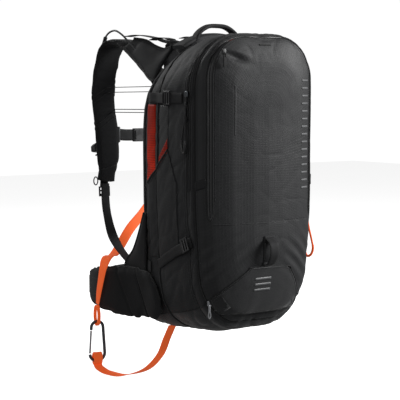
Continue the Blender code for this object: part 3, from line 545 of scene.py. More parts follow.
def joined(*parts):
    """Several bodies as one mesh."""
    whole = bmesh.new()
    for part in parts:
        mesh = bpy.data.meshes.new("part")
        part.to_mesh(mesh)
        part.free()
        whole.from_mesh(mesh)
        bpy.data.meshes.remove(mesh)
    return whole


def stitches(points, outs, pitch=0.0040, length=0.0026, width=0.0008):
    """Thread along a line: one small raised stitch after another."""
    marks = [0.0]
    for before, after in zip(points, points[1:]):
        marks.append(marks[-1] + (after - before).length)
    bm = bmesh.new()
    place = pitch / 2.0
    while place < marks[-1]:
        index = min(int(np.searchsorted(marks, place)), len(points) - 1)
        share = (place - marks[index - 1]) / max(marks[index] - marks[index - 1], 1e-9)
        spot = points[index - 1].lerp(points[index], share)
        along = (points[index] - points[index - 1]).normalized()
        out = outs[index]
        turn = axes(spot + out * width * 0.25, along, along.cross(out))
        shape = turn @ Matrix.Diagonal((width, length, width * 0.8, 1.0))
        bmesh.ops.create_cube(bm, size=1.0, matrix=shape)
        place += pitch
    return bm


# ------------------------------------------------------------- finished pieces
def at(x, y, z):
    """A place in pack coordinates, given in the frame."""
    return tuple(Vector((x, y, z)) + ORIGIN_SHIFT)


def piece(name, bm, looks, body, stands_for=(), wall=0.0, inner=0, levels=0):
    """Store a mesh in the frame as a named piece that rides on a body; a piece given the body fold is
    left in place and rides on none.
    """
    bmesh.ops.translate(bm, vec=ORIGIN_SHIFT, verts=bm.verts)
    mesh = bpy.data.meshes.new(name)
    bm.to_mesh(mesh)
    bm.free()
    item = bpy.data.objects.new(name, mesh)
    bpy.context.scene.collection.objects.link(item)
    for look in looks if isinstance(looks, (list, tuple)) else [looks]:
        mesh.materials.append(look)
    mesh.shade_smooth()
    mesh.set_sharp_from_angle(angle=math.radians(48))
    if wall:
        cloth = item.modifiers.new("Cloth wall", "SOLIDIFY")
        cloth.thickness = wall
        cloth.offset = -1.0
        cloth.material_offset = inner
    if levels:
        smooth_more = item.modifiers.new("Smooth", "SUBSURF")
        smooth_more.levels = smooth_more.render_levels = levels
    if body == "fold":
        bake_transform(item)
    else:
        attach(item, body)
    if stands_for:
        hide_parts(*stands_for)
    return item


def repaint(node, look):
    """Give a node of the frame its finish."""
    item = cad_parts[node]
    for held in item.material_slots:
        held.material = look
    if not item.material_slots:
        item.data.materials.append(look)


def swollen(bm, voxel=0.005, pressure=4.0, cap=0.006):
    """Blow a closed pad up as cloth, as its foam does, and give its mesh back."""
    mesh = bpy.data.meshes.new("pad")
    bm.to_mesh(mesh)
    bm.free()
    item = bpy.data.objects.new("pad", mesh)
    scene = bpy.context.scene
    scene.collection.objects.link(item)
    remesh = item.modifiers.new("Even", "REMESH")
    remesh.mode = "VOXEL"
    remesh.voxel_size = voxel
    graph = bpy.context.evaluated_depsgraph_get()
    even = bpy.data.meshes.new_from_object(item.evaluated_get(graph))
    item.modifiers.clear()
    item.data = even
    rest = np.array([vert.co for vert in even.vertices])
    cloth = item.modifiers.new("Swell", "CLOTH")
    cloth.settings.use_pressure = True
    cloth.settings.uniform_pressure_force = pressure
    cloth.settings.effector_weights.gravity = 0.0
    cloth.settings.quality = 5
    cloth.point_cache.frame_start = 1
    cloth.point_cache.frame_end = sizes().swell_frames
    for step in range(1, sizes().swell_frames + 1):
        scene.frame_set(step)
    graph = bpy.context.evaluated_depsgraph_get()
    blown = bpy.data.meshes.new_from_object(item.evaluated_get(graph))
    moved = np.array([vert.co for vert in blown.vertices]) - rest
    reach = np.linalg.norm(moved, axis=1, keepdims=True)
    moved *= np.minimum(1.0, cap / np.maximum(reach, 1e-9))
    scene.frame_set(1)
    out = bmesh.new()
    out.from_mesh(even)
    for vert, shift in zip(out.verts, moved):
        vert.co += Vector(shift)
    bmesh.ops.smooth_vert(out, verts=out.verts, factor=0.5, use_axis_x=True, use_axis_y=True,
                          use_axis_z=True)
    bmesh.ops.subdivide_edges(out, edges=out.edges[:], cuts=1, use_grid_fill=True, smooth=0.6)
    bpy.data.objects.remove(item)
    return out


# ------------------------------------------------------------------- materials
class Look:
    """A material whose nodes are added one by one."""

    def __init__(self, name, colour, roughness, metallic=0.0):
        """Start from the shader with its plain values."""
        self.material = bpy.data.materials.new(name)
        self.material.use_nodes = True
        self.tree = self.material.node_tree
        self.shader = self.tree.nodes["Principled BSDF"]
        self.set("Base Color", (*colour, 1.0))
        self.set("Roughness", roughness)
        self.set("Metallic", metallic)
        self.material.diffuse_color = (*colour, 1.0)
        self.colour = colour

    def set(self, socket, value):
        """Set a plain value on the shader."""
        self.shader.inputs[socket].default_value = value

    def node(self, kind, links=(), values=(), **settings):
        """Add a node, with links and values for its inputs."""
        made = self.tree.nodes.new("ShaderNode" + kind)
        for name, value in settings.items():
            setattr(made, name, value)
        for socket, value in dict(values).items():
            made.inputs[socket].default_value = value
        for socket, output in dict(links).items():
            self.tree.links.new(output, made.inputs[socket])
        return made

    def spot(self, chart, scale):
        """Coordinates on the chart, or in the object, times a scale."""
        source = self.node("TexCoord").outputs["UV" if chart else "Object"]
        return self.node("Mapping", {"Vector": source}, {"Scale": scale}).outputs["Vector"]

    def wave(self, vector, axis, scale, detail=0.0, distort=0.0):
        """Bands across an axis, scale of them in 0.314 m."""
        made = self.node("TexWave", {"Vector": vector},
                         {"Scale": scale, "Distortion": distort, "Detail": detail},
                         wave_type="BANDS", bands_direction=axis)
        return made.outputs["Fac"]

    def noise(self, vector, scale, detail=3.0):
        """Soft noise."""
        return self.node("TexNoise", {"Vector": vector},
                         {"Scale": scale, "Detail": detail}).outputs["Fac"]

    def maths(self, operation, first, second):
        """A sum on one or two values."""
        made = self.node("Math", operation=operation)
        for place, value in enumerate((first, second)):
            if isinstance(value, (int, float)):
                made.inputs[place].default_value = value
            else:
                self.tree.links.new(value, made.inputs[place])
        return made.outputs[0]

    def ramp(self, value, low, high, low_out=0.0, high_out=1.0):
        """A value eased from one range into another."""
        return self.node("MapRange", {"Value": value},
                         {"From Min": low, "From Max": high, "To Min": low_out,
                          "To Max": high_out}, interpolation_type="SMOOTHSTEP").outputs["Result"]

    def tint(self, value, dark, light):
        """Run the base colour between a darker and a lighter tone."""
        mix = self.node("Mix", {"Factor": value}, data_type="RGBA")
        mix.inputs["A"].default_value = (*[part * dark for part in self.colour], 1.0)
        mix.inputs["B"].default_value = (*[min(part * light, 1.0) for part in self.colour], 1.0)
        return mix.outputs["Result"]

    def finish(self, colour=None, height=None, depth=0.0003, rough=None, strength=1.0):
        """Link colour, bump and roughness to the shader."""
        if colour is not None:
            self.tree.links.new(colour, self.shader.inputs["Base Color"])
        if rough is not None:
            self.tree.links.new(rough, self.shader.inputs["Roughness"])
        if height is not None:
            bump = self.node("Bump", {"Height": height}, {"Strength": strength,
                                                          "Distance": depth})
            self.tree.links.new(bump.outputs["Normal"], self.shader.inputs["Normal"])
        return self.material


WAVES_PER_METRE = 20.0 / math.tau  # a wave texture of scale 1 has this many bands in a metre


def ripstop(name, colour, roughness=0.62, thread=0.0009, square=0.0052, line=0.35, sheen=0.05,
            vary=0.30):
    """Plain-woven cloth with a grid of thicker threads."""
    look = Look(name, colour, roughness)
    look.set("Sheen Weight", sheen)
    look.set("Sheen Roughness", 0.45)
    look.set("Specular IOR Level", 0.22)
    chart = look.spot(True, (1.0, 1.0, 1.0))
    fine = 1.0 / thread / WAVES_PER_METRE
    wide = 1.0 / square / WAVES_PER_METRE
    weave = look.maths("MULTIPLY", look.wave(chart, "X", fine), look.wave(chart, "Y", fine))
    lines = look.maths("MAXIMUM", look.ramp(look.wave(chart, "X", wide), 0.86, 0.98),
                       look.ramp(look.wave(chart, "Y", wide), 0.86, 0.98))
    place = look.spot(False, (1.0, 1.0, 1.0))
    cloud = look.noise(place, 9.0, 5.0)
    fluff = look.noise(place, 240.0, 2.0)
    tone = look.maths("ADD", look.maths("MULTIPLY", cloud, 0.55),
                      look.maths("MULTIPLY", fluff, 0.30))
    tone = look.maths("ADD", tone, look.maths("MULTIPLY", lines, line))
    height = look.maths("ADD", look.maths("MULTIPLY", weave, 0.5),
                        look.maths("MULTIPLY", lines, 0.9))
    rough = look.ramp(cloud, 0.25, 0.75, roughness - 0.07, roughness + 0.08)
    return look.finish(look.tint(tone, 1.0 - vary, 1.0 + vary), height, 0.00018, rough, 0.55)


def webbing(name, colour, roughness=0.70, rib=0.0016, sheen=0.06, vary=0.25, painted_glow=0.0):
    """Woven tape: ribs across it and a firm edge. A glow above 0 adds emission in its own colour: a
    painted glow.
    """
    look = Look(name, colour, roughness)
    look.set("Specular IOR Level", 0.25)
    look.set("Sheen Weight", sheen)
    look.set("Sheen Roughness", 0.4)
    # Emission in the tape's own colour: a painted glow when its strength is above 0.
    look.set("Emission Color", (*colour, 1.0))
    look.set("Emission Strength", painted_glow)
    chart = look.spot(True, (1.0, 1.0, 1.0))
    scale = 1.0 / rib / WAVES_PER_METRE
    ribs = look.wave(chart, "Y", scale, 1.0, 0.6)
    threads = look.wave(chart, "X", scale * 0.8, 1.0, 0.4)
    twill = look.wave(chart, "DIAGONAL", scale * 0.7)
    height = look.maths("ADD", look.maths("MULTIPLY", ribs, 0.6),
                        look.maths("MULTIPLY", look.maths("MULTIPLY", threads, twill), 0.5))
    cloud = look.noise(look.spot(False, (1.0, 1.0, 1.0)), 26.0, 4.0)
    tone = look.maths("ADD", look.maths("MULTIPLY", height, 0.45),
                      look.maths("MULTIPLY", cloud, 0.5))
    rough = look.ramp(cloud, 0.3, 0.7, roughness - 0.08, roughness + 0.08)
    return look.finish(look.tint(tone, 1.0 - vary, 1.0 + vary), height, 0.00025, rough, 0.7)


def spacer_mesh(name, colour, cell=0.0030, roughness=0.85):
    """Knitted mesh cloth with rows of small holes."""
    look = Look(name, colour, roughness)
    look.set("Sheen Weight", 0.06)
    look.set("Specular IOR Level", 0.2)
    place = look.spot(False, (1.0, 1.0, 1.0))
    cells = look.node("TexVoronoi", {"Vector": place}, {"Scale": 1.0 / cell, "Randomness": 0.25},
                      feature="F1").outputs["Distance"]
    holes = look.ramp(cells, 0.18, 0.42)
    cloud = look.noise(place, 14.0, 4.0)
    tone = look.maths("ADD", look.maths("MULTIPLY", holes, 0.6),
                      look.maths("MULTIPLY", cloud, 0.4))
    return look.finish(look.tint(tone, 0.45, 1.35), holes, 0.0006, None, 0.7)


def brushed_cloth(name, colour, roughness=0.78, sheen=0.07):
    """Tight matt cloth for pads: a fine grain with soft cloudy wear."""
    look = Look(name, colour, roughness)
    look.set("Sheen Weight", sheen)
    look.set("Sheen Roughness", 0.5)
    look.set("Specular IOR Level", 0.2)
    place = look.spot(False, (1.0, 1.0, 1.0))
    grain = look.node("TexVoronoi", {"Vector": place}, {"Scale": 900.0, "Randomness": 0.6},
                      feature="F1").outputs["Distance"]
    cloud = look.noise(place, 18.0, 5.0)
    fluff = look.noise(place, 420.0, 2.0)
    tone = look.maths("ADD", look.maths("MULTIPLY", cloud, 0.55),
                      look.maths("MULTIPLY", fluff, 0.45))
    rough = look.ramp(cloud, 0.3, 0.7, roughness - 0.06, roughness + 0.08)
    return look.finish(look.tint(tone, 0.65, 1.35), look.maths("ADD", grain, fluff), 0.00022,
                       rough, 0.6)


def coated(name, colour, roughness=0.30):
    """Smooth coated cloth or zip tape."""
    look = Look(name, colour, roughness)
    look.set("Coat Weight", 0.06)
    look.set("Coat Roughness", 0.3)
    place = look.spot(False, (1.0, 1.0, 1.0))
    cloud = look.noise(place, 30.0, 4.0)
    fine = look.noise(place, 600.0, 2.0)
    rough = look.ramp(cloud, 0.3, 0.7, roughness - 0.06, roughness + 0.10)
    return look.finish(look.tint(cloud, 0.75, 1.25), fine, 0.00012, rough, 0.5)


def moulded(name, colour, roughness=0.42):
    """Moulded plastic with a fine spark-eroded grain and rubbed spots."""
    look = Look(name, colour, roughness)
    look.set("Specular IOR Level", 0.5)
    place = look.spot(False, (1.0, 1.0, 1.0))
    grain = look.noise(place, 1500.0, 2.0)
    cloud = look.noise(place, 60.0, 4.0)
    rough = look.ramp(cloud, 0.35, 0.65, roughness - 0.10, roughness + 0.10)
    return look.finish(look.tint(cloud, 0.8, 1.4), grain, 0.00006, rough, 0.5)


def metal(name, colour, roughness=0.30, stretch=(1.0, 1.0, 0.06)):
    """Metal with drawn marks and duller handled spots."""
    look = Look(name, colour, roughness, 1.0)
    lines = look.noise(look.spot(False, stretch), 1800.0, 2.0)
    cloud = look.noise(look.spot(False, (1.0, 1.0, 1.0)), 70.0, 4.0)
    rough = look.ramp(look.maths("ADD", look.maths("MULTIPLY", cloud, 0.7),
                                 look.maths("MULTIPLY", lines, 0.3)),
                      0.3, 0.7, roughness - 0.10, roughness + 0.14)
    return look.finish(look.tint(cloud, 0.8, 1.15), lines, 0.00004, rough, 0.4)


def lining_cloth(name, colour, top=1.0):
    """Bright ripstop lining. With top below 1 its colour is darker towards the top of the piece, by
    height: painted shade.
    """
    look = Look(name, colour, 0.55)
    look.set("Sheen Weight", 0.02)
    look.set("Specular IOR Level", 0.12)
    chart = look.spot(True, (1.0, 1.0, 1.0))
    wide = 1.0 / 0.0048 / WAVES_PER_METRE
    lines = look.maths("MAXIMUM", look.ramp(look.wave(chart, "X", wide), 0.80, 0.97),
                       look.ramp(look.wave(chart, "Y", wide), 0.80, 0.97))
    cloud = look.noise(look.spot(False, (1.0, 1.0, 1.0)), 35.0, 4.0)
    tone = look.maths("SUBTRACT", look.maths("MULTIPLY", cloud, 1.3),
                      look.maths("MULTIPLY", lines, 0.55))
    # Painted shade: the colour is eased from full at height -0.300 to top times full at -0.165.
    if top < 1.0:
        height = look.node("SeparateXYZ", {"Vector": look.spot(False, (1.0, 1.0, 1.0))}).outputs["Z"]
        tone = look.maths("MULTIPLY", tone, look.ramp(height, -0.300, -0.165, 1.0, top))
    return look.finish(look.tint(tone, 0.30, 1.25), lines, 0.0002, None, 0.6)


LOOKS = {}


def look(name):
    """A finish by name, made the first time it is asked for."""
    if not LOOKS:
        tones = colours()
        shell, base, pad = tuple(tones.shell), tuple(tones.base), tuple(tones.harness)
        web, plastic, lining = tuple(tones.webbing), tuple(tones.plastic), tuple(tones.lining)
        LOOKS.update({
            "shell": ripstop("shell_ripstop", shell),
            "front": ripstop("front_ripstop", shell, 0.58, line=0.30, square=0.0068),
            "pocket": ripstop("pocket_ripstop", tuple(part * 0.85 for part in shell), 0.60),
            "base": ripstop("base_cloth", base, 0.50, 0.0012, 0.0030, 0.10, 0.20, 0.25),
            "lining": lining_cloth("lining_ripstop", lining),
            # The strip lining below carries painted shade: darker towards its top.
            "strip": lining_cloth("lining_strip_painted_shade", lining, 0.25),
            # The lining at 0.45 of its colour below: painted shade for lining deeper in a side pocket.
            "shaded_lining": lining_cloth("lining_painted_shade", tuple(part * 0.45 for part in lining)),
            "tape": coated("zip_tape", tuple(part * 1.05 for part in shell), 0.48),
            "gloss": coated("coated_panel", tuple(part * 0.75 for part in shell), 0.26),
            "piping": brushed_cloth("piping_cloth", tuple(part * 0.45 for part in shell), 0.70,
                                    0.15),
            "thread": brushed_cloth("sewing_thread", tuple(part * 1.6 for part in shell), 0.65,
                                    0.2),
            "pad": brushed_cloth("pad_cloth", pad),
            "mesh": spacer_mesh("spacer_mesh", pad),
            "back": spacer_mesh("back_mesh", pad, 0.0042),
            "web": webbing("dark_webbing", web),
            # The signal webbing and cord below glow by emission, 0.30 and 0.20: a painted glow that
            # brightens them.
            "signal": webbing("signal_webbing", tuple(tones.signal), 0.62, 0.0014, 0.05, 0.12, 0.30),
            "signal_cord": webbing("signal_cord", tuple(tones.signal), 0.60, 0.0022, 0.05, 0.15, 0.20),
            "cord": webbing("dark_cord", tuple(part * 1.2 for part in web), 0.6, 0.0018),
            "cable": coated("cable_sleeve", (0.030, 0.031, 0.033), 0.38),
            "plastic": moulded("moulded_plastic", plastic),
            "grip": moulded("grip_plastic", (0.045, 0.047, 0.050), 0.5),
            "sheet": moulded("frame_sheet_plastic", (0.020, 0.020, 0.022), 0.5),
            "steel": metal("cylinder_steel", (0.42, 0.43, 0.45), 0.34),
            "bright": metal("bright_steel", (0.40, 0.41, 0.43), 0.34),
            "brass": metal("valve_brass", (0.66, 0.45, 0.17), 0.32),
            "grey": metal("anodised_grey", (0.115, 0.125, 0.135), 0.32),
            "mark": coated("printed_mark", tuple(tones.mark), 0.5),
            "airbag": ripstop("airbag_cloth", tuple(part * 0.9 for part in lining), 0.5,
                              0.0007, 0.004, 0.2, 0.1, 0.25),
        })
    return LOOKS[name]


# ----------------------------------------------------------------- on the skin
SURFACE = {}


def remember(name, bm):
    """Keep a tree of a sheet, so that pieces can be laid on it."""
    SURFACE[name] = BVHTree.FromBMesh(bm)


def on_front(x, z, lift=0.0):
    """A point on the front cloth, seen from the front."""
    for name in ("front", "shell"):
        hit = SURFACE[name].ray_cast(Vector((x, -0.5, z)), Vector((0.0, 1.0, 0.0)))
        if hit[0] is not None:
            return hit[0] + (hit[1] if hit[1].y < 0.0 else -hit[1]) * lift
    hit = SURFACE["front"].find_nearest(Vector((x, -0.24, z)))
    return hit[0] + (hit[1] if hit[1].y < 0.0 else -hit[1]) * lift


def on_side(y, z, side, lift=0.0):
    """A point on the side cloth, seen from that side."""
    hit = SURFACE["shell"].ray_cast(Vector((side * 0.5, y, z)), Vector((-side, 0.0, 0.0)))
    if hit[0] is None:
        hit = SURFACE["shell"].find_nearest(Vector((side * 0.16, y, z)))
    return hit[0] + (hit[1] if hit[1].x * side > 0.0 else -hit[1]) * lift


def lofted(lower, upper, bulge, columns=30, rows_across=12):
    """Cloth between two curves, blown outwards in its middle."""
    low, high = spline(lower, 12), spline(upper, 12)
    places = list(np.linspace(0.0, 1.0, columns + 1))
    shares = list(np.linspace(0.0, 1.0, rows_across + 1))

    def on_curve(points, place):
        spot = place * (len(points) - 1)
        index = min(int(spot), len(points) - 2)
        return points[index].lerp(points[index + 1], spot - index)

    def place_at(i, j):
        first, last = on_curve(low, places[i]), on_curve(high, places[i])
        bow = math.sin(math.pi * shares[j]) * math.sin(math.pi * min(places[i] * 1.2, 1.0)) ** 0.5
        return first.lerp(last, shares[j]) + Vector(bulge) * bow

    width = (low[0] - high[0]).length
    run = length_of(low)
    return grid(places, shares, place_at, lambda i, j: (places[i] * run, shares[j] * width))


def cut_sheet(outline, land, spacing=0.004):
    """A sheet of a convex outline, laid on the body by a function."""
    lows = [min(point[k] for point in outline) for k in (0, 1)]
    highs = [max(point[k] for point in outline) for k in (0, 1)]
    marks = [np.linspace(lows[k], highs[k], max(int((highs[k] - lows[k]) / spacing), 2) + 1)
             for k in (0, 1)]
    bm = grid(marks[0], marks[1],
              lambda i, j: Vector((marks[0][i], marks[1][j], 0.0)),
              lambda i, j: (marks[0][i], marks[1][j]))
    middle = Vector((sum(p[0] for p in outline), sum(p[1] for p in outline), 0.0)) / len(outline)
    for first, second in zip(outline, outline[1:] + outline[:1]):
        edge = Vector((second[0] - first[0], second[1] - first[1], 0.0))
        out = Vector((edge.y, -edge.x, 0.0)).normalized()
        start = Vector((first[0], first[1], 0.0))
        if out.dot(middle - start) > 0.0:
            out = -out
        bmesh.ops.bisect_plane(bm, geom=bm.verts[:] + bm.edges[:] + bm.faces[:], dist=1e-6,
                               plane_co=start, plane_no=out, clear_outer=True)
    for vert in bm.verts:
        vert.co = land(vert.co.x, vert.co.y)
    return turned_outwards(bm, BODY_MIDDLE)


# ------------------------------------------------------------- shell and front
def height_to_s(v, z, side=-1.0):
    """Place s of a height on the straight run of a ring."""
    low, high, r_low, r_high = ring(v)[1:5]
    s = (z - low - r_low) / (high - r_high - low - r_low)
    return s if side < 0.0 else 5.0 - s


def rows(*runs):
    """Values of v: each run gives its first value, last value and steps."""
    out = []
    for first, last, steps in runs:
        out += list(np.linspace(first, last, steps + 1))
    return sorted({round(float(value), 4) for value in out})


def line_on_skin(places, lift):
    """Points and outward directions along places (s, v) on the cloth."""
    points = [skin(s, v, lift) for s, v in places]
    outs = [(skin(s, v, lift + 0.01) - point).normalized()
            for (s, v), point in zip(places, points)]
    return points, outs


def make_shell():
    """Side, top and base cloth of the bag, and its front with the zipped flap."""
    cloth, spacing = sizes().cloth, sizes().spacing
    side_rows = rows((0.0, 1.0, 12), (1.0, 2.0, 26), (2.0, 2.1, 2), (2.1, 2.34, 8), (2.34, 3.0, 7))
    shell = turned_outwards(body_sheet(rim_places(SHELL_FROM, SHELL_TO, spacing), side_rows),
                            BODY_MIDDLE)
    remember("shell", shell)
    piece("shell_fabric", shell, [look("shell"), look("lining")], "pack",
          ("side_panel_left", "side_panel_right", "top_panel"), cloth, 1)
    base = turned_outwards(body_sheet(rim_places(SHELL_TO, 8.0 + SHELL_FROM, spacing), side_rows),
                           BODY_MIDDLE)
    piece("base_fabric", base, [look("base"), look("lining")], "pack", ("bottom_panel",),
          cloth, 1)

    front_rows = rows((3.0, 4.0, 7), (4.0, 4.12, 4), (4.12, 4.44, 4), (4.44, 4.56, 4),
                      (4.56, 4.88, 4), (4.88, 5.0, 4), (5.0, 6.0, 13), (6.0, 7.0, 12),
                      (7.0, RING_LAST, 8))
    front_places = rim_places(0.0, 8.0, spacing, True)

    def kind(i, j):
        v = (front_rows[j] + front_rows[j + 1]) / 2.0
        s = (front_places[i] + front_places[i + 1]) / 2.0
        spot = rim(ring(round(v, 4)), s)
        inside = 1 if 3.9 < v < 5.1 and band(v, spot.z) > 0.5 else 0
        return inside + (2 if v > BAND_MIDDLE else 0)

    front = body_sheet(front_places, front_rows, 0.0, kind)
    slit = [edge for edge in front.edges if edge.is_boundary
            and max(abs(vert.co.x) for vert in edge.verts) < 0.004]
    lips = list({vert for edge in slit for vert in edge.verts})
    for vert in lips:
        vert.co.x = 0.0
    bmesh.ops.remove_doubles(front, verts=lips, dist=0.0009)
    left = [edge for edge in front.edges if edge.is_boundary
            and max(abs(vert.co.x) for vert in edge.verts) < 0.0005]
    bmesh.ops.holes_fill(front, edges=left, sides=0)
    bmesh.ops.triangulate(front, faces=[face for face in front.faces if len(face.verts) > 4])
    bmesh.ops.remove_doubles(front, verts=front.verts, dist=2e-5)
    bmesh.ops.dissolve_degenerate(front, edges=front.edges, dist=1e-5)
    turned_outwards(front, BODY_MIDDLE)
    remember("front", front)
    flap = front.copy()
    for bm, keep_flap in ((front, False), (flap, True)):
        bmesh.ops.bisect_plane(bm, geom=bm.verts[:] + bm.edges[:] + bm.faces[:], dist=1e-6,
                               plane_co=(0.0, 0.0, FOLD_Z), plane_no=(0.0, 0.0, 1.0))
        gone = [face for face in bm.faces
                if (face.material_index > 1 and face.calc_center_median().z > FOLD_Z)
                != keep_flap]
        bmesh.ops.delete(bm, geom=gone, context="FACES")
        for face in bm.faces:
            face.material_index %= 2
    looks = [look("front"), look("tape"), look("lining"), look("lining")]
    piece("front_fabric", front, looks, "pack", ("front_wall",), cloth, 2)
    piece("flap_fabric", flap, looks, "fold", ("front_flap",), cloth, 2)


def band_edge(sides_v, end_angles):
    """Places (s, v) along one edge of the zip band, over the top from end to end."""
    left = []
    for angle in end_angles:
        v = BAND_MIDDLE - BAND_HALF * math.cos(angle)
        left.append((height_to_s(v, BAND_END - 0.0155 * math.sin(angle)), v))
    low, high = left[-1][0] + 0.01, 1.0
    run = [low + (high - low) * step / 70 for step in range(71)]
    arc = [1.0 + step / 40 for step in range(1, 61)]
    half = left + [(s, sides_v) for s in run + arc]
    return half + [(5.0 - s, v) for s, v in reversed(half)]


def make_seams():
    """Piping, zips, rolled edges and sewing on the shell."""
    def cord_on(name, places, radius, lift, finish, body, closed=False):
        points, _ = line_on_skin(places, lift)
        piece(name, round_cord(points, radius, closed, 8), look(finish), body)

    loop = [(s, 1.0) for s in np.linspace(0.0, 8.0, 420)[:-1]]
    cord_on("piping_back", loop, 0.0019, 0.0008, "piping", "pack", True)
    cord_on("piping_front", [(s, 3.0) for s, _ in loop], 0.0016, 0.0010, "piping", "pack", True)
    half_loop = [(s, 2.0) for s in np.linspace(-0.5, 5.5, 330)]
    cord_on("seam_side", half_loop, 0.0009, 0.0002, "piping", "pack")
    cord_on("seam_base_left", [(SHELL_FROM, v) for v in np.linspace(0.0, 3.0, 60)], 0.0009,
            0.0002, "piping", "pack")
    cord_on("seam_base_right", [(SHELL_TO, v) for v in np.linspace(0.0, 3.0, 60)], 0.0009,
            0.0002, "piping", "pack")

    backing = body_sheet(list(np.linspace(0.25, 4.75, 260)), rows((4.40, 4.60, 4)), -0.0016)
    piece("flap_zip_backing", turned_outwards(backing, BODY_MIDDLE), look("piping"), "pack",
          wall=0.0006)
    fold = [on_front(x, FOLD_Z, 0.0001) for x in np.linspace(-0.116, 0.116, 60)]
    piece("fold_seam", round_cord(fold, 0.0008, False, 6), look("front"), "pack")
    left, right = height_to_s(LINE_ZIP, 0.290), height_to_s(LINE_ZIP, 0.225, 1.0)
    zip_places = np.linspace(left, right, 420)
    for name, v in (("zip_lip_back", LINE_ZIP - 0.13), ("zip_lip_front", LINE_ZIP + 0.13)):
        cord_on(name, [(s, v) for s in zip_places], 0.0010, 0.0004, "piping", "pack")
    points, outs = line_on_skin([(s, LINE_ZIP) for s in zip_places], 0.0002)
    piece("main_zip_teeth", stitches(points, outs, 0.0030, 0.0017, 0.0026), look("piping"), "pack")

    outer = band_edge(BAND_MIDDLE - BAND_HALF, np.linspace(math.pi / 2.0, 0.0, 12))
    inner = band_edge(BAND_MIDDLE + BAND_HALF, np.linspace(math.pi / 2.0, math.pi, 12))
    cord_on("band_edge_wall", outer, 0.0010, 0.0004, "piping", "pack")
    cord_on("band_edge_flap", inner, 0.0010, 0.0004, "piping", "fold")
    low = height_to_s(BAND_MIDDLE, BAND_END - 0.010)
    for name, shift, body in (("flap_zip_teeth_wall", -0.035, "pack"),
                              ("flap_zip_teeth_flap", 0.035, "fold")):
        places = [(s, BAND_MIDDLE + shift) for s in np.linspace(low, 5.0 - low, 420)]
        points, outs = line_on_skin(places, 0.0002)
        piece(name, stitches(points, outs, 0.0030, 0.0016, 0.0012), look("piping"), body)

    rows_of_thread = (("thread_side", 1.90, -0.3, 5.3, "pack"),
                      ("thread_front_wall", 3.22, 0.0, 7.99, "pack"),
                      ("thread_edge_wall", 3.93, 0.30, 4.70, "pack"),
                      ("thread_edge_flap", 5.10, 0.36, 4.64, "flap"))
    for name, v, first, last, body in rows_of_thread:
        places = [(s, v) for s in np.linspace(first, last, 460)]
        points, outs = line_on_skin(places, 0.0)
        piece(name, stitches(points, outs), look("thread"), body)

    for side, label in ((-1.0, "left"), (1.0, "right")):
        ends = sorted((height_to_s(3.5, 0.294, side), height_to_s(3.5, 0.312, side)))
        tab = body_sheet(list(np.linspace(*ends, 6)), rows((3.06, 4.02, 8)), 0.0014)
        piece("band_tab_" + label, turned_outwards(tab, BODY_MIDDLE), look("web"), "pack",
              wall=0.0012)


def make_front_details():
    """Base patch, plain marks, the slit, the axe loop and its keeper."""
    patch = cut_sheet(PATCH_OUTLINE, lambda x, z: on_front(x, z, 0.0014))
    piece("base_patch", patch, look("base"), "pack", ("front_base_pocket",), 0.0010)
    top_edge = spline([(x, 0.0, z) for x, z in PATCH_OUTLINE], 10)
    low_edge = spline([(0.092, 0.0, 0.050), (0.050, 0.0, 0.0505), (0.0, 0.0, 0.0505),
                       (-0.050, 0.0, 0.0505), (-0.092, 0.0, 0.050)], 12)
    edge = [on_front(point.x, point.z, 0.0010) for point in low_edge]
    piece("base_patch_hem", round_cord(edge, 0.0011, False, 8), look("piping"), "pack")
    edge = [on_front(point.x, point.z, 0.0012) for point in top_edge]
    piece("base_patch_edge", round_cord(edge, 0.0010, False, 8), look("piping"), "pack")
    row = [on_front(point.x * 0.96, point.z - 0.0035, 0.0016) for point in top_edge[6:-6]]
    piece("base_patch_thread", stitches(row, [Vector((0.0, -1.0, 0.0))] * len(row)),
          look("thread"), "pack")

    bars = []
    for step in range(15):
        z = 0.2880 + step * 0.0150
        bars.append(((0.0890, z), (0.1110, z), (0.1110, z + 0.0042), (0.0890, z + 0.0042)))
    marks = joined(*[cut_sheet(bar, lambda x, z: on_front(x, z, 0.0005), 0.003) for bar in bars])
    piece("mark_tall", marks, look("mark"), "flap", wall=0.0004)
    thin = ((-0.0782, 0.395), (-0.0764, 0.395), (-0.0764, 0.490), (-0.0782, 0.490))
    piece("mark_thin", cut_sheet(thin, lambda x, z: on_front(x, z, 0.0005), 0.003),
          look("thread"), "flap", wall=0.0004)
    low_bars = [((-0.030, z), (0.010, z), (0.010, z + 0.0050), (-0.030, z + 0.0050))
                for z in (0.094, 0.105, 0.116)]
    marks = joined(*[cut_sheet(bar, lambda x, z: on_front(x, z, 0.0019), 0.003)
                     for bar in low_bars])
    piece("mark_base", marks, look("mark"), "pack", wall=0.0004)
    slit = ((-0.014, 0.5655), (0.015, 0.5655), (0.015, 0.5685), (-0.014, 0.5685))
    piece("flap_slit", cut_sheet(slit, lambda x, z: on_front(x, z, 0.0007), 0.002),
          look("piping"), "flap", wall=0.0005)

    route = [(0.0, -0.2222, 0.1960), (0.0, -0.2290, 0.1930), (0.0, -0.2370, 0.1860),
             (0.0, -0.2390, 0.1740), (0.0, -0.2370, 0.1620), (0.0, -0.2300, 0.1500),
             (0.0, -0.2255, 0.1460)]
    axe = swept(spline(route, 8), (1.0, 0.0, 0.0), 0.022, sizes().webbing, flat_profile())
    piece("axe_loop", axe, look("web"), "pack", ("ice_axe_loop",))
    foot = ((-0.0125, 0.188), (0.0125, 0.188), (0.0125, 0.201), (-0.0125, 0.201))
    low_foot = ((-0.0125, 0.1420), (0.0125, 0.1420), (0.0125, 0.1500), (-0.0125, 0.1500))
    feet = joined(*[cut_sheet(shape, lambda x, z: on_front(x, z, 0.0017), 0.003)
                    for shape in (foot, low_foot)])
    piece("axe_loop_feet", feet, look("web"), "pack", wall=0.0014)
    strip = ((-0.011, 0.150), (0.011, 0.150), (0.011, 0.190), (-0.011, 0.190))
    piece("axe_loop_strip", cut_sheet(strip, lambda x, z: on_front(x, z, 0.0012), 0.003),
          look("gloss"), "pack", wall=0.0010)


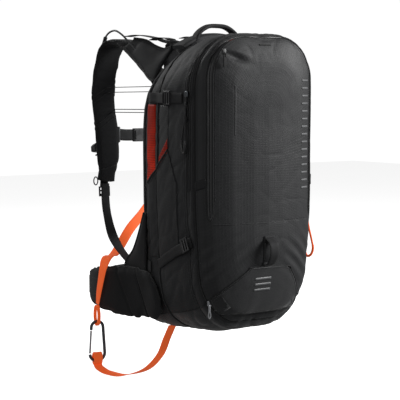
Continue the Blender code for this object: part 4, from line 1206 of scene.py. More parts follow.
def make_side_pockets():
    """Side pockets, with the bright lining that shows in the left one."""
    lining = ((-0.003, 0.298), (-0.037, 0.324), (-0.037, 0.453), (-0.003, 0.453))
    wedge = ((-0.053, 0.333), (-0.088, 0.360), (-0.090, 0.388), (-0.056, 0.352))
    gloss = ((-0.054, 0.345), (-0.090, 0.372), (-0.090, 0.453), (-0.054, 0.453))
    panel = ((-0.007, 0.299), (-0.090, 0.366), (-0.122, 0.300), (-0.118, 0.180), (-0.050, 0.152),
             (-0.014, 0.150))
    binding = ((-0.041, 0.322), (-0.050, 0.329), (-0.050, 0.457), (-0.041, 0.457))
    for side, label in ((-1.0, "left"), (1.0, "right")):
        def land(lift, side=side):
            return lambda y, z: on_side(y, z, side, lift)

        # The lining in the pocket opening carries painted shade, darker towards its top.
        piece("pocket_lining_" + label, cut_sheet(lining, land(0.0009)), look("strip"), "pack",
              wall=0.0006)
        piece("pocket_gloss_" + label, cut_sheet(gloss, land(0.0009)), look("gloss"), "pack",
              wall=0.0006)
        # This wedge of lining deeper in the pocket is darkened: painted shade.
        piece("pocket_shaded_lining_" + label, cut_sheet(wedge, land(0.0014)), look("shaded_lining"), "pack",
              wall=0.0004)
        piece("pocket_binding_" + label, cut_sheet(binding, land(0.0022), 0.003), look("web"),
              "pack", wall=0.0018)
        piece("pocket_panel_" + label, cut_sheet(panel, land(0.0014)), look("pocket"), "pack",
              wall=0.0010)
        top = spline([(0.0, -0.005, 0.2975), (0.0, -0.030, 0.317), (0.0, -0.060, 0.341),
                      (0.0, -0.090, 0.366)], 10)
        points = [on_side(point.y, point.z, side, 0.0018) for point in top]
        piece("pocket_edge_" + label, round_cord(points, 0.0019, False, 10), look("piping"),
              "pack")
        row = [on_side(point.y, point.z - 0.006, side, 0.0015) for point in top]
        piece("pocket_thread_" + label, stitches(row, [Vector((side, 0.0, 0.0))] * len(row)),
              look("thread"), "pack")
        slide = [on_side(y, z, side, 0.0030) for y, z in ((-0.009, 0.140), (-0.009, 0.129),
                                                          (-0.010, 0.118))]
        piece("strap_keeper_" + label,
              swept(slide, (0.0, 1.0, 0.0), 0.011, 0.0034, flat_profile()), look("plastic"),
              "pack")


# ---------------------------------------------------------------------- straps
def make_straps():
    """Haul loop and compression straps."""
    thick = [0.0060, 0.0075, 0.0085, 0.0085, 0.0085, 0.0075, 0.0060]
    wide = [0.022, 0.0210, 0.0185, 0.0175, 0.0185, 0.0210, 0.022]
    top = HAUL_Z + 0.0012
    route = ((-0.058, HAUL_Y, 0.5745), (-0.046, HAUL_Y, 0.5960), (-0.024, HAUL_Y, top - 0.0025),
             (0.0, HAUL_Y, top), (0.024, HAUL_Y, top - 0.0025), (0.046, HAUL_Y, 0.5960),
             (0.058, HAUL_Y, 0.5745))
    points = spline(route, 10)
    thicks = spread(thick, len(points))
    points = [point + Vector((0.0, 0.0, thickness / 2.0 - 0.0060))
              for point, thickness in zip(points, thicks)]
    loop = swept(points, (0.0, 1.0, 0.0), spread(wide, len(points)), thicks,
                 pad_profile(20, 0.55, 0.70))
    piece("haul_handle", loop, look("web"), "pack", ("haul_loop",))
    base = [Vector((x, HAUL_Y + 0.010, 0.5850 - 2.6 * x * x)) for x in np.linspace(-0.086, 0.086, 41)]
    heights = [0.0220 * (1.0 - 0.6 * abs(point.x / 0.086) ** 3) for point in base]
    roll = swept(base, (0.0, 1.0, 0.0), 0.040, heights, pad_profile(28, 0.5, 0.5))
    piece("haul_base", roll, look("shell"), "pack")
    for side, label in ((-1.0, "left"), (1.0, "right")):
        foot = block((0.024, 0.026, 0.0022), (0.0, 0.0, 0.0), 0.0008,
                     axes((side * 0.0600, HAUL_Y, 0.5760), (0.0, 1.0, 0.0),
                          (0.80, 0.0, -side * 0.42)))
        piece("haul_foot_" + label, foot, look("web"), "pack")

    width, thickness = sizes().narrow_web, sizes().webbing
    for side, label in ((-1.0, "left"), (1.0, "right")):
        marks = (-0.004, -0.020, -0.040, -0.060, -0.074, -0.086, -0.100, -0.114, -0.138)
        lifts = (0.0026, 0.0030, 0.0030, 0.0034, 0.0050, 0.0066, 0.0050, 0.0034, 0.0026)
        route = [on_side(y, 0.466, side, lift) for y, lift in zip(marks, lifts)]
        strap = swept(spline(route, 6), (0.0, 0.0, 1.0), width, thickness, flat_profile())
        tail = [on_side(y, 0.466, side, lift) for y, lift in
                ((-0.084, 0.0108), (-0.070, 0.0088), (-0.050, 0.0062), (-0.030, 0.0052))]
        fold = swept(spline(tail, 6), (0.0, 0.0, 1.0), width, thickness, flat_profile())
        piece("strap_top_" + label, joined(strap, fold), look("web"), "pack",
              ("compression_strap_top_" + label,))

        across = Vector((0.0, 0.417, 0.909))
        start, end = Vector((0.0, -0.040, 0.137)), Vector((0.0, -0.163, 0.1934))
        shares = (0.0, 0.2, 0.4, 0.6, 0.75, 0.85, 0.93, 1.0)
        if side < 0.0:
            lifts = (0.0026, 0.0030, 0.0032, 0.0034, 0.0044, 0.0058, 0.0060, 0.0034)
            tail_marks = ((0.80, 0.0098), (0.66, 0.0072), (0.50, 0.0052))
        else:
            lifts = (0.0026, 0.0032, 0.0046, 0.0060, 0.0060, 0.0040, 0.0034, 0.0026)
            tail_marks = ((0.56, 0.0098), (0.42, 0.0072), (0.28, 0.0052))
        route = []
        for share, lift in zip(shares, lifts):
            spot = start.lerp(end, share)
            route.append(on_side(spot.y, spot.z, side, lift))
        strap = swept(spline(route, 6), across, width, thickness, flat_profile())
        tail = []
        for share, lift in tail_marks:
            spot = start.lerp(end, share)
            tail.append(on_side(spot.y, spot.z, side, lift))
        fold = swept(spline(tail, 6), across, width, thickness, flat_profile())
        piece("strap_low_" + label, joined(strap, fold), look("web"), "pack",
              ("compression_strap_low_" + label,))


def twisted(turns, steps, count):
    """Across directions eased from one point of a route to the next."""
    sides = []
    for index in range(count):
        low = min(index // steps, len(turns) - 2)
        sides.append(Vector(turns[low]).lerp(Vector(turns[low + 1]), index / steps - low))
    return sides


def make_leg_loop():
    """Leg strap in two lengths, its ring, its eye and the carabiner's finish."""
    width, thickness = sizes().narrow_web, sizes().webbing
    turn = Matrix.Translation((HOOK_X, HOOK_Y, HOOK_UP)) @ Matrix.Rotation(HOOK_TURN, 4, "Z")

    oval = [turn @ Vector((0.0, 0.0120 * math.sin(angle), -0.0080 - 0.0210 * math.cos(angle)))
            for angle in np.linspace(0.0, math.tau, 41)[:-1]]
    across = turn.to_3x3() @ Vector((1.0, 0.0, 0.0))
    ring_band = swept(oval, across, 0.0070, 0.0021, flat_profile(), True)
    ring_piece = piece("leg_strap_ring", ring_band, look("signal"), "pack", ("leg_ring",))
    eye = [turn @ Vector((0.0, 0.0065 * math.sin(angle), -0.0985 - 0.0120 * math.cos(angle)))
           for angle in np.linspace(0.0, math.tau, 37)[:-1]]
    eye_piece = piece("leg_strap_eye", swept(eye, across, 0.0190, 0.0024, flat_profile(), True),
                      look("signal"), "pack")

    upper = spline(LEG_UPPER, 12)
    sides = twisted(LEG_TWIST, 12, len(upper))
    widths = spread([0.021] * 10 + [0.017, 0.0105], len(upper))
    bm = swept(upper, sides, widths, thickness, flat_profile())
    strap = piece("leg_strap_to_ring", bm, look("signal"), "pack", ("leg_strap_upper",))
    path = [at(*point) for point in upper]
    length_of(upper)
    lower = spline(LEG_LOWER, 12)
    bm = swept(lower, (1.0, 0.0, 0.0), width, thickness, flat_profile())
    strap = piece("leg_strap_to_base", bm, look("signal"), "pack", ("leg_strap_lower",))
    path = [at(*point) for point in reversed(lower)]
    length_of(lower)
    repaint("carabiner_body", look("grey"))
    repaint("carabiner_gate", look("bright"))


# --------------------------------------------------------------------- harness
def grooved(bm, lines, depth=0.0014, reach=0.0016):
    """Press sewn channels into a pad. Each line gives a distance for a place."""
    bm.normal_update()
    shifts = []
    for vert in bm.verts:
        press = max(bell(line(vert.co), 0.0, reach) for line in lines)
        shifts.append(vert.normal * (-depth * press))
    for vert, shift in zip(bm.verts, shifts):
        vert.co += shift
    return bm


def pad_edge(tree, points, out, sink=0.0006):
    """Where a pad's edge stands beside points on its middle line."""
    edge = []
    for point in points:
        hit = tree.ray_cast(point + out * 0.12, -out)
        spot = hit[0] if hit[0] is not None else tree.find_nearest(point + out * 0.05)[0]
        edge.append(spot - out * sink)
    return edge


def sewn_line(tree, places, way, lift=0.0004):
    """Where a sewn line lies on a pad, seen along a direction."""
    found = []
    for place in places:
        hit = tree.ray_cast(place - way * 0.2, way)
        if hit[0] is not None:
            found.append(hit[0] - way * lift)
    return found


def make_shoulder(side, label):
    """One shoulder strap with its binding, webbing, lifter and end ring."""
    width, thickness = sizes().pad_width, sizes().pad_thick
    points = spline(flipped(PAD_ROUTE, side), 20)
    last = len(points) - 1
    widths = [width * (1.0 - 0.30 * smoothstep(0.88, 1.0, index / last))
              for index in range(len(points))]
    rise = 0.82
    pad = swept(points, (1.0, 0.0, 0.0), [value * 0.97 for value in widths], thickness * rise,
                pad_profile())
    pad = swollen(pad, 0.005, 4.0, 0.0022)

    def line(height, slope):
        return lambda spot: ((spot.z - height) - slope * (spot.x + side * -0.098) * -side
                             if spot.y > 0.19 and spot.z < 0.56 else 1.0)

    grooved(pad, [line(0.474, 0.62), line(0.486, 0.62), line(0.414, 0.62), line(0.426, 0.62),
                  line(0.318, 0.25)])
    layer_face = [face for face in pad.faces if face.normal.y < -0.2
                  and face.calc_center_median().y > 0.18]
    for face in layer_face:
        face.material_index = 1
    tree = BVHTree.FromBMesh(pad)
    item = piece("shoulder_strap_" + label, pad, [look("pad"), look("mesh")], "pack",
                 ("shoulder_pad_" + label,))
    seams = ((0.470, 0.62), (0.482, 0.62), (0.412, 0.62), (0.424, 0.62), (0.318, 0.25))
    lines = []
    for height, slope in seams:
        for way in (Vector((0.0, 1.0, 0.0)), Vector((0.0, -1.0, 0.0))):
            places = [Vector((side * -(-0.098 + x), 0.222, height + slope * x))
                      for x in np.linspace(-0.029, 0.029, 24)]
            found = sewn_line(tree, places, way)
            if len(found) > 8:
                lines.append(round_cord(found, 0.0009, False, 6))
    piece("shoulder_sewing_" + label, joined(*lines), look("piping"), "pack")
    for edge_label, sign in (("outer", -1.0), ("inner", 1.0)):
        edge = pad_edge(tree, points[1:-1:2], Vector((sign, 0.0, 0.0)))
        piece(f"shoulder_binding_{edge_label}_{label}", round_cord(edge, 0.0019, False, 8),
              look("piping"), "pack")

    low_edge = flipped(((-0.112, 0.012, 0.498), (-0.110, 0.034, 0.508), (-0.103, 0.066, 0.526),
                        (-0.098, 0.104, 0.547), (-0.097, 0.145, 0.571)), side)
    high_edge = flipped(((-0.064, 0.014, 0.570), (-0.058, 0.050, 0.566), (-0.060, 0.080, 0.573),
                         (-0.064, 0.108, 0.585), (-0.070, 0.145, 0.5905)), side)
    yoke = lofted(low_edge, high_edge, (side * 0.007, 0.0, 0.005))
    yoke = turned_outwards(yoke, Vector((0.0, 0.06, 0.48)))
    piece("shoulder_yoke_" + label, yoke, [look("pad"), look("mesh")], "pack", wall=0.0060,
          inner=1)
    for name, edge in (("low", low_edge), ("high", high_edge)):
        piece(f"yoke_binding_{name}_{label}", round_cord(spline(edge, 8), 0.0026, False, 8),
              look("piping"), "pack")

    web, thin = sizes().narrow_web, sizes().webbing
    lifter = spline(flipped(LIFTER_ROUTE, side), 8)
    body = swept(lifter, (1.0, 0.0, 0.0), web, thin, flat_profile())
    tail_route = flipped(((-0.0575, 0.024, 0.5845), (-0.0585, 0.046, 0.5880),
                          (-0.0600, 0.068, 0.5885), (-0.0610, 0.088, 0.5850)), side)
    tail = swept(spline(tail_route, 6), (1.0, 0.0, 0.0), web, thin, flat_profile())
    piece("lifter_strap_" + label, joined(body, tail), look("web"), "pack",
          ("load_lifter_" + label,))

    twist = ((1.0, 0.0, 0.0), (1.0, 0.0, 0.0), (1.0, 0.0, 0.0), (0.75, 0.0, side * -0.65),
             (0.2, 0.0, side * -1.0), (0.0, 0.0, side * -1.0))
    lower = spline(flipped(WEB_ROUTE, side), 10)
    sides = twisted(twist, 10, len(lower))
    piece("lower_strap_" + label, swept(lower, sides, web, thin, flat_profile()), look("web"),
          "pack", ("shoulder_webbing_" + label,))
    short = spline(flipped(((-0.1050, 0.2085, 0.3050), (-0.1060, 0.2105, 0.2900),
                            (-0.1068, 0.2110, 0.2740)), side), 6)
    piece("pad_end_web_" + label, swept(short, (1.0, 0.0, 0.0), web, thin, flat_profile()),
          look("web"), "pack")
    hoop = [Vector((side * 0.1290, 0.2080, 0.2880))
            + Vector((side * 0.0050 * math.cos(a), 0.0, 0.0085 * math.sin(a)))
            for a in np.linspace(0.0, math.tau, 25)[:-1]]
    piece("pad_end_ring_" + label, round_cord(hoop, 0.0013, True, 8), look("plastic"), "pack")


def make_chest():
    """Sternum strap and its sliders."""
    wide, thin = sizes().chest_web, sizes().webbing
    left = swept(spline(((-0.0665, 0.2120, 0.3860), (-0.0480, 0.2170, 0.3845),
                         (-0.0270, 0.2195, 0.3840)), 8), (0.0, 0.0, 1.0), wide, thin,
                 flat_profile())
    piece("chest_strap_left", left, look("web"), "pack", ("sternum_strap_left",))
    right = swept(spline(((0.0665, 0.2110, 0.3860), (0.0480, 0.2160, 0.3845),
                          (0.0300, 0.2160, 0.3840), (0.0030, 0.2160, 0.3840)), 8),
                  (0.0, 0.0, 1.0), wide, thin, flat_profile())
    piece("chest_strap_right", right, look("web"), "pack", ("sternum_strap_right",))
    for side, label in ((-1.0, "left"), (1.0, "right")):
        slider = block((0.0060, 0.0075, 0.034), (side * 0.0670, 0.2140, 0.3860), 0.0022)
        piece("chest_slider_" + label, slider, look("grip"), "pack")


def make_trigger():
    """Release cable, the pull handle on the strap and its socket."""
    cable = round_cord(spline(CABLE_ROUTE, 10), 0.0021)
    piece("cable_sleeve", cable, look("cable"), "pack", ("release_cable",))
    knob = block((0.0085, 0.0085, 0.010), (-0.0970, 0.2470, 0.4740), 0.0024)
    piece("cable_knob", knob, look("plastic"), "pack")
    sleeve = [Vector(point) for point in spline(CABLE_ROUTE[11:15], 8)]
    piece("cable_cover", round_cord(sleeve, 0.0042, False, 12), look("pad"), "pack")
    seat = axes((-0.100, 0.2125, 0.402), Vector((0.002, 0.015, 0.053)), (-1.0, 0.0, 0.0))
    grip = block((0.044, 0.034, 0.020), (0.006, -0.034, 0.0222), 0.0055, segments=4)
    for vert in grip.verts:
        down = smoothstep(0.006, -0.052, vert.co.y)
        point = smoothstep(0.004, 0.030, vert.co.x)
        vert.co.z = 0.0225 + (vert.co.z - 0.0225) * (0.85 + 0.35 * down) * (1.0 - 0.45 * point)
        vert.co.y = -0.047 + (vert.co.y + 0.047) * (1.0 - 0.62 * point)
    bmesh.ops.transform(grip, matrix=seat, verts=grip.verts)
    item = piece("pull_handle", grip, look("plastic"), "trigger", ("trigger_handle",))
    item.data.update()
    plate = block((0.026, 0.0032, 0.021), (0.0, -0.0530, 0.0265), 0.0012)
    bmesh.ops.transform(plate, matrix=seat, verts=plate.verts)
    piece("pull_handle_plate", plate, look("grip"), "trigger")
    repaint("trigger_socket", look("plastic"))


def make_hip():
    """Hip wings, their webbing and the belt webbing."""
    for side, label in ((-1.0, "left"), (1.0, "right")):
        points = spline(flipped(WING_ROUTE, -side), 16)
        heights = spread(WING_HEIGHTS, len(points))
        rise = 0.85
        wing = swept(points, (0.0, 0.0, 1.0), [value * 0.98 for value in heights], 0.010 * rise,
                     pad_profile(48, 0.45, 0.70))
        wing = swollen(wing, 0.005, 4.0, 0.0028)
        grooved(wing, [lambda spot: (spot.y - 0.052) * 0.91 - (spot.z - 0.068) * 0.41,
                       lambda spot: (spot.y - 0.004) * 0.90 - (spot.z - 0.072) * 0.42], 0.0022,
                0.0020)
        for face in wing.faces:
            if face.normal.x * side < -0.3:
                face.material_index = 1
        tree = BVHTree.FromBMesh(wing)
        item = piece("hip_pad_" + label, wing, [look("pad"), look("mesh")], "pack",
                     ("hip_wing_" + label,))
        lines = []
        for start in (0.052, 0.004):
            places = [Vector((side * 0.158, start + 0.45 * (z - 0.068), z))
                      for z in np.linspace(0.022, 0.118, 26)]
            found = sewn_line(tree, places, Vector((-side, 0.0, 0.0)))
            if len(found) > 8:
                lines.append(round_cord(found, 0.0011, False, 6))
        piece("hip_sewing_" + label, joined(*lines), look("piping"), "pack")
        for name, sign in (("upper", 1.0), ("lower", -1.0)):
            edge = pad_edge(tree, points[1:-1:2], Vector((0.0, 0.0, sign)))
            piece(f"hip_binding_{name}_{label}", round_cord(edge, 0.0018, False, 8),
                  look("piping"), "pack")
        stay_edge = [(side * x, y, z) for x, y, z in
                     ((0.1385, 0.007, 0.236), (0.1375, 0.028, 0.192), (0.1370, 0.050, 0.156),
                      (0.1400, 0.070, 0.134), (0.1440, 0.074, 0.110))]
        stay_root = [(side * x, y, z) for x, y, z in
                     ((0.1380, 0.001, 0.236), (0.1395, 0.001, 0.200), (0.1400, 0.000, 0.165),
                      (0.1400, 0.000, 0.130), (0.1400, 0.000, 0.095))]
        stay = turned_outwards(lofted(stay_edge, stay_root, (side * 0.003, 0.0, 0.0)),
                               Vector((0.0, 0.04, 0.15)))
        piece("hip_stay_" + label, stay, [look("pad"), look("mesh")], "pack", wall=0.0040,
              inner=1)
        piece("hip_stay_binding_" + label, round_cord(spline(stay_edge, 8), 0.0022, False, 8),
              look("piping"), "pack")
        cover = spline([(side * 0.1665, 0.096, 0.0715), (side * 0.1715, 0.130, 0.0710),
                        (side * 0.1655, 0.168, 0.0700), (side * 0.1555, 0.193, 0.0700)], 8)
        piece("hip_strap_" + label, swept(cover, (0.0, 0.0, 1.0), sizes().hip_web,
                                          sizes().webbing, flat_profile()), look("web"), "pack")

    thin, wide = sizes().webbing, sizes().hip_web
    out = Vector((0.0, 0.0, 1.0)).cross(HIP_ALONG)
    tail = HIP_MOUTH - HIP_ALONG * 0.0428
    left = swept(spline((tail, tail - HIP_ALONG * 0.006, Vector((-0.1470, 0.2010, 0.0700))), 8),
                 (0.0, 0.0, 1.0), wide, thin, flat_profile())
    piece("belt_left", left, look("web"), "pack", ("hip_webbing_left",))
    inner = out * -0.0046
    right = swept(spline((HIP_MOUTH + HIP_ALONG * 0.0025 + inner,
                          HIP_MOUTH + HIP_ALONG * 0.026 + inner,
                          HIP_MOUTH + HIP_ALONG * 0.056 + inner * 1.25,
                          Vector((-0.0180, 0.2900, 0.0700)), Vector((0.0300, 0.2910, 0.0700)),
                          Vector((0.0880, 0.2680, 0.0700)), Vector((0.1300, 0.2300, 0.0700)),
                          Vector((0.1470, 0.2005, 0.0700))), 10),
                  (0.0, 0.0, 1.0), wide, thin, flat_profile())
    piece("belt_right", right, look("web"), "pack", ("hip_webbing_right",))


def back_depth(z):
    """Depth of the back edge of the body at a height."""
    shape = RINGS[0]
    lean = min(max((z - LEAN_FROM) / LEAN_SPAN, 0.0), 1.5)
    return shape[5] - shape[6] * lean ** 2


def pillow(centre, half, low, high, shift, thick):
    """A crowned pad on the back, round at its corners and closed behind."""
    marks = [math.sin(value) for value in np.linspace(-math.pi / 2.0, math.pi / 2.0, 41)]
    middle, rise = (low + high) / 2.0, (high - low) / 2.0

    def place(i, j):
        u, w = marks[i], marks[j]
        x = half * u * math.sqrt(1.0 - 0.22 * w ** 4)
        z = middle + rise * w * math.sqrt(1.0 - 0.22 * u ** 4)
        crown = (1.0 - max(abs(u), abs(w)) ** 8) ** 0.5 * (1.0 - 0.12 * (u * u + w * w))
        return Vector((centre + x, back_depth(z) + shift + thick * crown, z))

    bm = grid(marks, marks, place, lambda i, j: (marks[i] * half, marks[j] * rise))
    bmesh.ops.holes_fill(bm, edges=[edge for edge in bm.edges if edge.is_boundary], sides=0)
    bmesh.ops.recalc_face_normals(bm, faces=bm.faces)
    return bm


def make_back():
    """Back panel with its pads, and the frame sheet behind it."""
    outline = []
    for s in np.linspace(0.0, 8.0, 49)[:-1]:
        spot = rim(RINGS[0], s)
        outline.append((spot.x, spot.z))

    def land(x, z):
        wave = 0.0012 * noise.noise(Vector((x * 12.0, 3.0, z * 9.0)))
        return Vector((x, back_depth(z) + 0.0105 + wave, z))

    panel = cut_sheet(tuple(outline), land, 0.006)
    piece("back_cover", panel, [look("back"), look("lining")], "pack", ("back_panel",),
          0.0085)
    for side, label in ((-1.0, "left"), (1.0, "right")):
        pad = pillow(side * 0.058, 0.037, 0.170, 0.418, 0.0112, 0.0120)
        pad = grooved(swollen(pad, 0.005, 4.0, 0.0020),
                      [lambda spot: spot.z - 0.252, lambda spot: spot.z - 0.336], 0.0040, 0.0032)
        item = piece("back_cushion_" + label, pad, look("mesh"), "pack", ("back_pad_" + label,))
    pad = pillow(0.0, 0.098, 0.040, 0.156, 0.0112, 0.0165)
    pad = grooved(swollen(pad, 0.005, 4.0, 0.0020),
                  [lambda spot: abs(spot.x) - 0.034], 0.0040, 0.0032)
    item = piece("lumbar_cushion", pad, look("mesh"), "pack", ("lumbar_pad",))
    repaint("frame_sheet", look("sheet"))


def make_airbag():
    """The folded balloon and the finish of the gas fittings."""
    points = [Vector((x, -0.087, 0.493)) for x in np.linspace(-0.087, 0.087, 60)]
    heights = [0.072 * (1.0 - 0.35 * abs(point.x / 0.087) ** 8) for point in points]
    depths = [0.064 * (1.0 - 0.35 * abs(point.x / 0.087) ** 8) for point in points]
    bundle = swept(points, (0.0, 0.0, 1.0), heights, depths, pad_profile(56, 0.5, 0.5))
    bundle.normal_update()
    shifts = []
    for vert in bundle.verts:
        fold = math.sin(vert.co.z * 420.0 + 1.6 * noise.noise(vert.co * 30.0))
        crease = noise.noise(vert.co * 55.0)
        shifts.append(vert.normal * (0.0010 * fold + 0.0012 * crease - 0.0012))
    for vert, shift in zip(bundle.verts, shifts):
        vert.co += shift
    item = piece("airbag_bundle", bundle, look("airbag"), "pack", ("airbag_pack",))
    repaint("gas_cartridge", look("steel"))
    repaint("cartridge_valve", look("brass"))
    repaint("ejector_housing", look("sheet"))
    repaint("release_lever", look("bright"))


# ----------------------------------------------------------------------- pulls
def pull_loop(top, reach=1.25):
    """The drop-shaped loop of a cord pull, under its top point."""
    shape = ((0.0, 0.0), (0.0016, -0.012), (0.0017, -0.040), (0.0060, -0.072),
             (0.0078, -0.090), (0.0050, -0.103), (0.0, -0.1075))
    away = math.copysign(1.0, top.x)
    half = [Vector((away * (0.0 - z * 0.045), y * reach, z)) for y, z in shape]
    other = [Vector((away * (y * 0.75 - z * 0.045), -y * reach, z))
             for y, z in reversed(shape[1:-1])]
    return [top + point for point in spline(half + other, 8, True)]


def make_pulls():
    """Zip pulls: two cord loops, a dark tab and a bare metal one."""
    pulls = (("left", -1.0, 0.470, 0.0014, "cord", "plastic"),
             ("right", 1.0, 0.250, 0.0021, "signal_cord", "signal_cord"))
    for label, side, top_z, radius, finish, end in pulls:
        low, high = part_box("side_zip_pull_" + label)
        centre = (Vector(low) + Vector(high)) / 2.0 - ORIGIN_SHIFT
        top = Vector((centre.x, centre.y, top_z))
        body = label + "_zip_pull"
        piece("cord_loop_" + label, round_cord(pull_loop(top), radius, True, 8), look(finish),
              body, ("side_zip_pull_" + label,))
        for name, z, size in (("knot_upper", -0.014, 0.0046), ("knot_lower", -0.043, 0.0050)):
            knot = block((size, size * 1.15, size * 1.5), top + Vector((0.0, 0.0, z)), size * 0.32)
            piece(f"{name}_{label}", knot, look("plastic" if end == "plastic" else "cord"), body)
        bend = [point for point in pull_loop(top, 1.27) if point.z < top.z - 0.084]
        bend.sort(key=lambda point: math.atan2(point.y - top.y, top.z - 0.080 - point.z))
        piece("loop_end_" + label, round_cord(bend, 0.0026, False, 10), look(end), body)
        slider = block((0.0045, 0.0095, 0.0110), top + Vector((-side * 0.0012, 0.0, 0.0035)),
                       0.0012)
        piece("zip_slider_" + label, slider, look("grey"), body)

    low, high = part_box("flap_zip_pull")
    centre = (Vector(low) + Vector(high)) / 2.0 - ORIGIN_SHIFT
    top = Vector((centre.x, centre.y, high[2] - ORIGIN_SHIFT.z))
    tab = block((0.0072, 0.0024, 0.0190), top + Vector((0.0, 0.0, -0.0185)), 0.0009)
    hoop = [top + Vector((0.0022 * math.cos(a), 0.0, -0.0060 + 0.0052 * math.sin(a)))
            for a in np.linspace(0.0, math.tau, 25)[:-1]]
    piece("flap_pull_tab", joined(tab, round_cord(hoop, 0.0010, True, 8)), look("piping"),
          "flap_pull", ("flap_zip_pull",))
    slider = block((0.0085, 0.0040, 0.0120), top + Vector((0.0, 0.0022, 0.0010)), 0.0013)
    piece("flap_zip_slider", slider, look("plastic"), "flap")

    low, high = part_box("base_zip_pull")
    centre = (Vector(low) + Vector(high)) / 2.0 - ORIGIN_SHIFT
    top = Vector((centre.x, centre.y, high[2] - ORIGIN_SHIFT.z))
    bar = block((0.0052, 0.0020, 0.0130), top + Vector((0.0, 0.0, -0.0085)), 0.0007)
    hoop = [top + Vector((0.0026 * math.cos(a), 0.0, -0.0215 + 0.0062 * math.sin(a)))
            for a in np.linspace(0.0, math.tau, 25)[:-1]]
    eye = swept(hoop, (0.0, 1.0, 0.0), 0.0018, 0.0017, flat_profile(), True)
    piece("base_pull_plate", joined(bar, eye), look("bright"), "base_pull", ("base_zip_pull",))
    slider = block((0.0080, 0.0042, 0.0105), top + Vector((0.0012, 0.0030, 0.0012)), 0.0013)
    piece("base_zip_slider", slider, look("bright"), "pack")


def finish_fittings():
    """Finish of the moulded buckles and ladder locks, which keep their shape."""
    for side in ("left", "right"):
        for name in ("load_lifter_buckle_", "shoulder_buckle_", "compression_buckle_top_",
                     "compression_buckle_low_"):
            repaint(name + side, look("plastic"))
    for name in ("sternum_buckle_female", "sternum_buckle_male", "hip_buckle_female",
                 "hip_buckle_male"):
        repaint(name, look("plastic"))


# ----------------------------------------------------------------------- stage
CAMERA_TARGET = Vector((-0.0502, -0.0636, 0.262))
CAMERA_BACK = Vector((-0.5855, -0.8059, 0.0872))
CAMERA_DISTANCE = 2.45
CAMERA_LENS, CAMERA_SENSOR = 110.0, 36.0
WORLD_AS_LIGHT, WORLD_AS_SEEN = 0.22, 1.02
LAMP_SHIFT = Vector((0.0, 0.0, -0.3))
FLOOR_GAP, FLOOR_HALF, FLOOR_GLOW = 0.012, 6.0, 0.70


def set_stage():
    """Camera, soft lights and a pale floor."""
    scene = bpy.context.scene
    scene.view_settings.view_transform = "Standard"
    camera = bpy.data.cameras.new("camera")
    camera.lens = CAMERA_LENS
    camera.sensor_width = CAMERA_SENSOR
    holder = bpy.data.objects.new("camera", camera)
    scene.collection.objects.link(holder)
    target = CAMERA_TARGET + ORIGIN_SHIFT
    holder.location = target + CAMERA_BACK.normalized() * CAMERA_DISTANCE
    holder.rotation_euler = (target - holder.location).to_track_quat("-Z", "Y").to_euler()
    scene.camera = holder

    world = bpy.data.worlds.new("studio")
    world.use_nodes = True
    tree = world.node_tree
    background = tree.nodes["Background"]
    background.inputs["Color"].default_value = (1.0, 1.0, 1.0, 1.0)
    seen = tree.nodes.new("ShaderNodeLightPath").outputs["Is Camera Ray"]
    strength = tree.nodes.new("ShaderNodeMapRange")
    strength.inputs["To Min"].default_value = WORLD_AS_LIGHT
    strength.inputs["To Max"].default_value = WORLD_AS_SEEN
    tree.links.new(seen, strength.inputs["Value"])
    tree.links.new(strength.outputs["Result"], background.inputs["Strength"])
    scene.world = world

    lights = (("key", (2.2, -1.7, 1.1), 1.2, 125.0), ("fill", (-2.4, -1.2, 0.9), 1.8, 16.0),
              ("rim", (-0.6, 2.2, 1.6), 1.2, 26.0))
    for name, place, size, power in lights:
        light = bpy.data.lights.new(name, "AREA")
        light.size = size
        light.energy = power
        lamp = bpy.data.objects.new(name, light)
        scene.collection.objects.link(lamp)
        lamp.location = Vector(place) + LAMP_SHIFT
        lamp.rotation_euler = (target - lamp.location).to_track_quat("-Z", "Y").to_euler()

    floor = Look("floor_paint", (0.92, 0.92, 0.92), 0.9)
    floor.set("Emission Color", (1.0, 1.0, 1.0, 1.0))
    floor.set("Emission Strength", FLOOR_GLOW)
    cloud = floor.noise(floor.spot(False, (1.0, 1.0, 1.0)), 2.0, 2.0)
    paint = floor.finish(floor.tint(cloud, 0.99, 1.01))
    bm = bmesh.new()
    bmesh.ops.create_grid(bm, x_segments=8, y_segments=8, size=FLOOR_HALF)
    bmesh.ops.translate(bm, vec=(0.0, 0.0, CAD_BOX[0][2] - FLOOR_GAP), verts=bm.verts)
    mesh = bpy.data.meshes.new("floor")
    bm.to_mesh(mesh)
    bm.free()
    mesh.materials.append(paint)
    ground = bpy.data.objects.new("floor", mesh)
    scene.collection.objects.link(ground)
    ground.visible_diffuse = False
    ground.visible_glossy = False


# ------------------------------------------------------------------- operators
class BACKPACK_OT_stage(bpy.types.Operator):
    """Set the camera, the lights and the floor."""

    bl_idname = "backpack.stage"
    bl_label = "Stage"
    bl_options = {"REGISTER", "UNDO"}

    def execute(self, context):
        """Set the camera, the lights and the floor."""
        set_stage()
        return {"FINISHED"}


class BACKPACK_OT_leg_loop(bpy.types.Operator):
    """Make the leg strap, its ring and the carabiner's finish."""

    bl_idname = "backpack.leg_loop"
    bl_label = "Leg loop"
    bl_options = {"REGISTER", "UNDO"}

    def execute(self, context):
        """Make the leg strap, its ring and the carabiner's finish."""
        make_leg_loop()
        return {"FINISHED"}


class BACKPACK_OT_shell(bpy.types.Operator):
    """Make the cloth of the bag and its front flap."""

    bl_idname = "backpack.shell"
    bl_label = "Shell"
    bl_options = {"REGISTER", "UNDO"}

    def execute(self, context):
        """Make the cloth of the bag and its front flap."""
        make_shell()
        return {"FINISHED"}


class BACKPACK_OT_seams(bpy.types.Operator):
    """Make piping, zips and sewing."""

    bl_idname = "backpack.seams"
    bl_label = "Seams"
    bl_options = {"REGISTER", "UNDO"}

    def execute(self, context):
        """Make piping, zips and sewing."""
        make_seams()
        return {"FINISHED"}


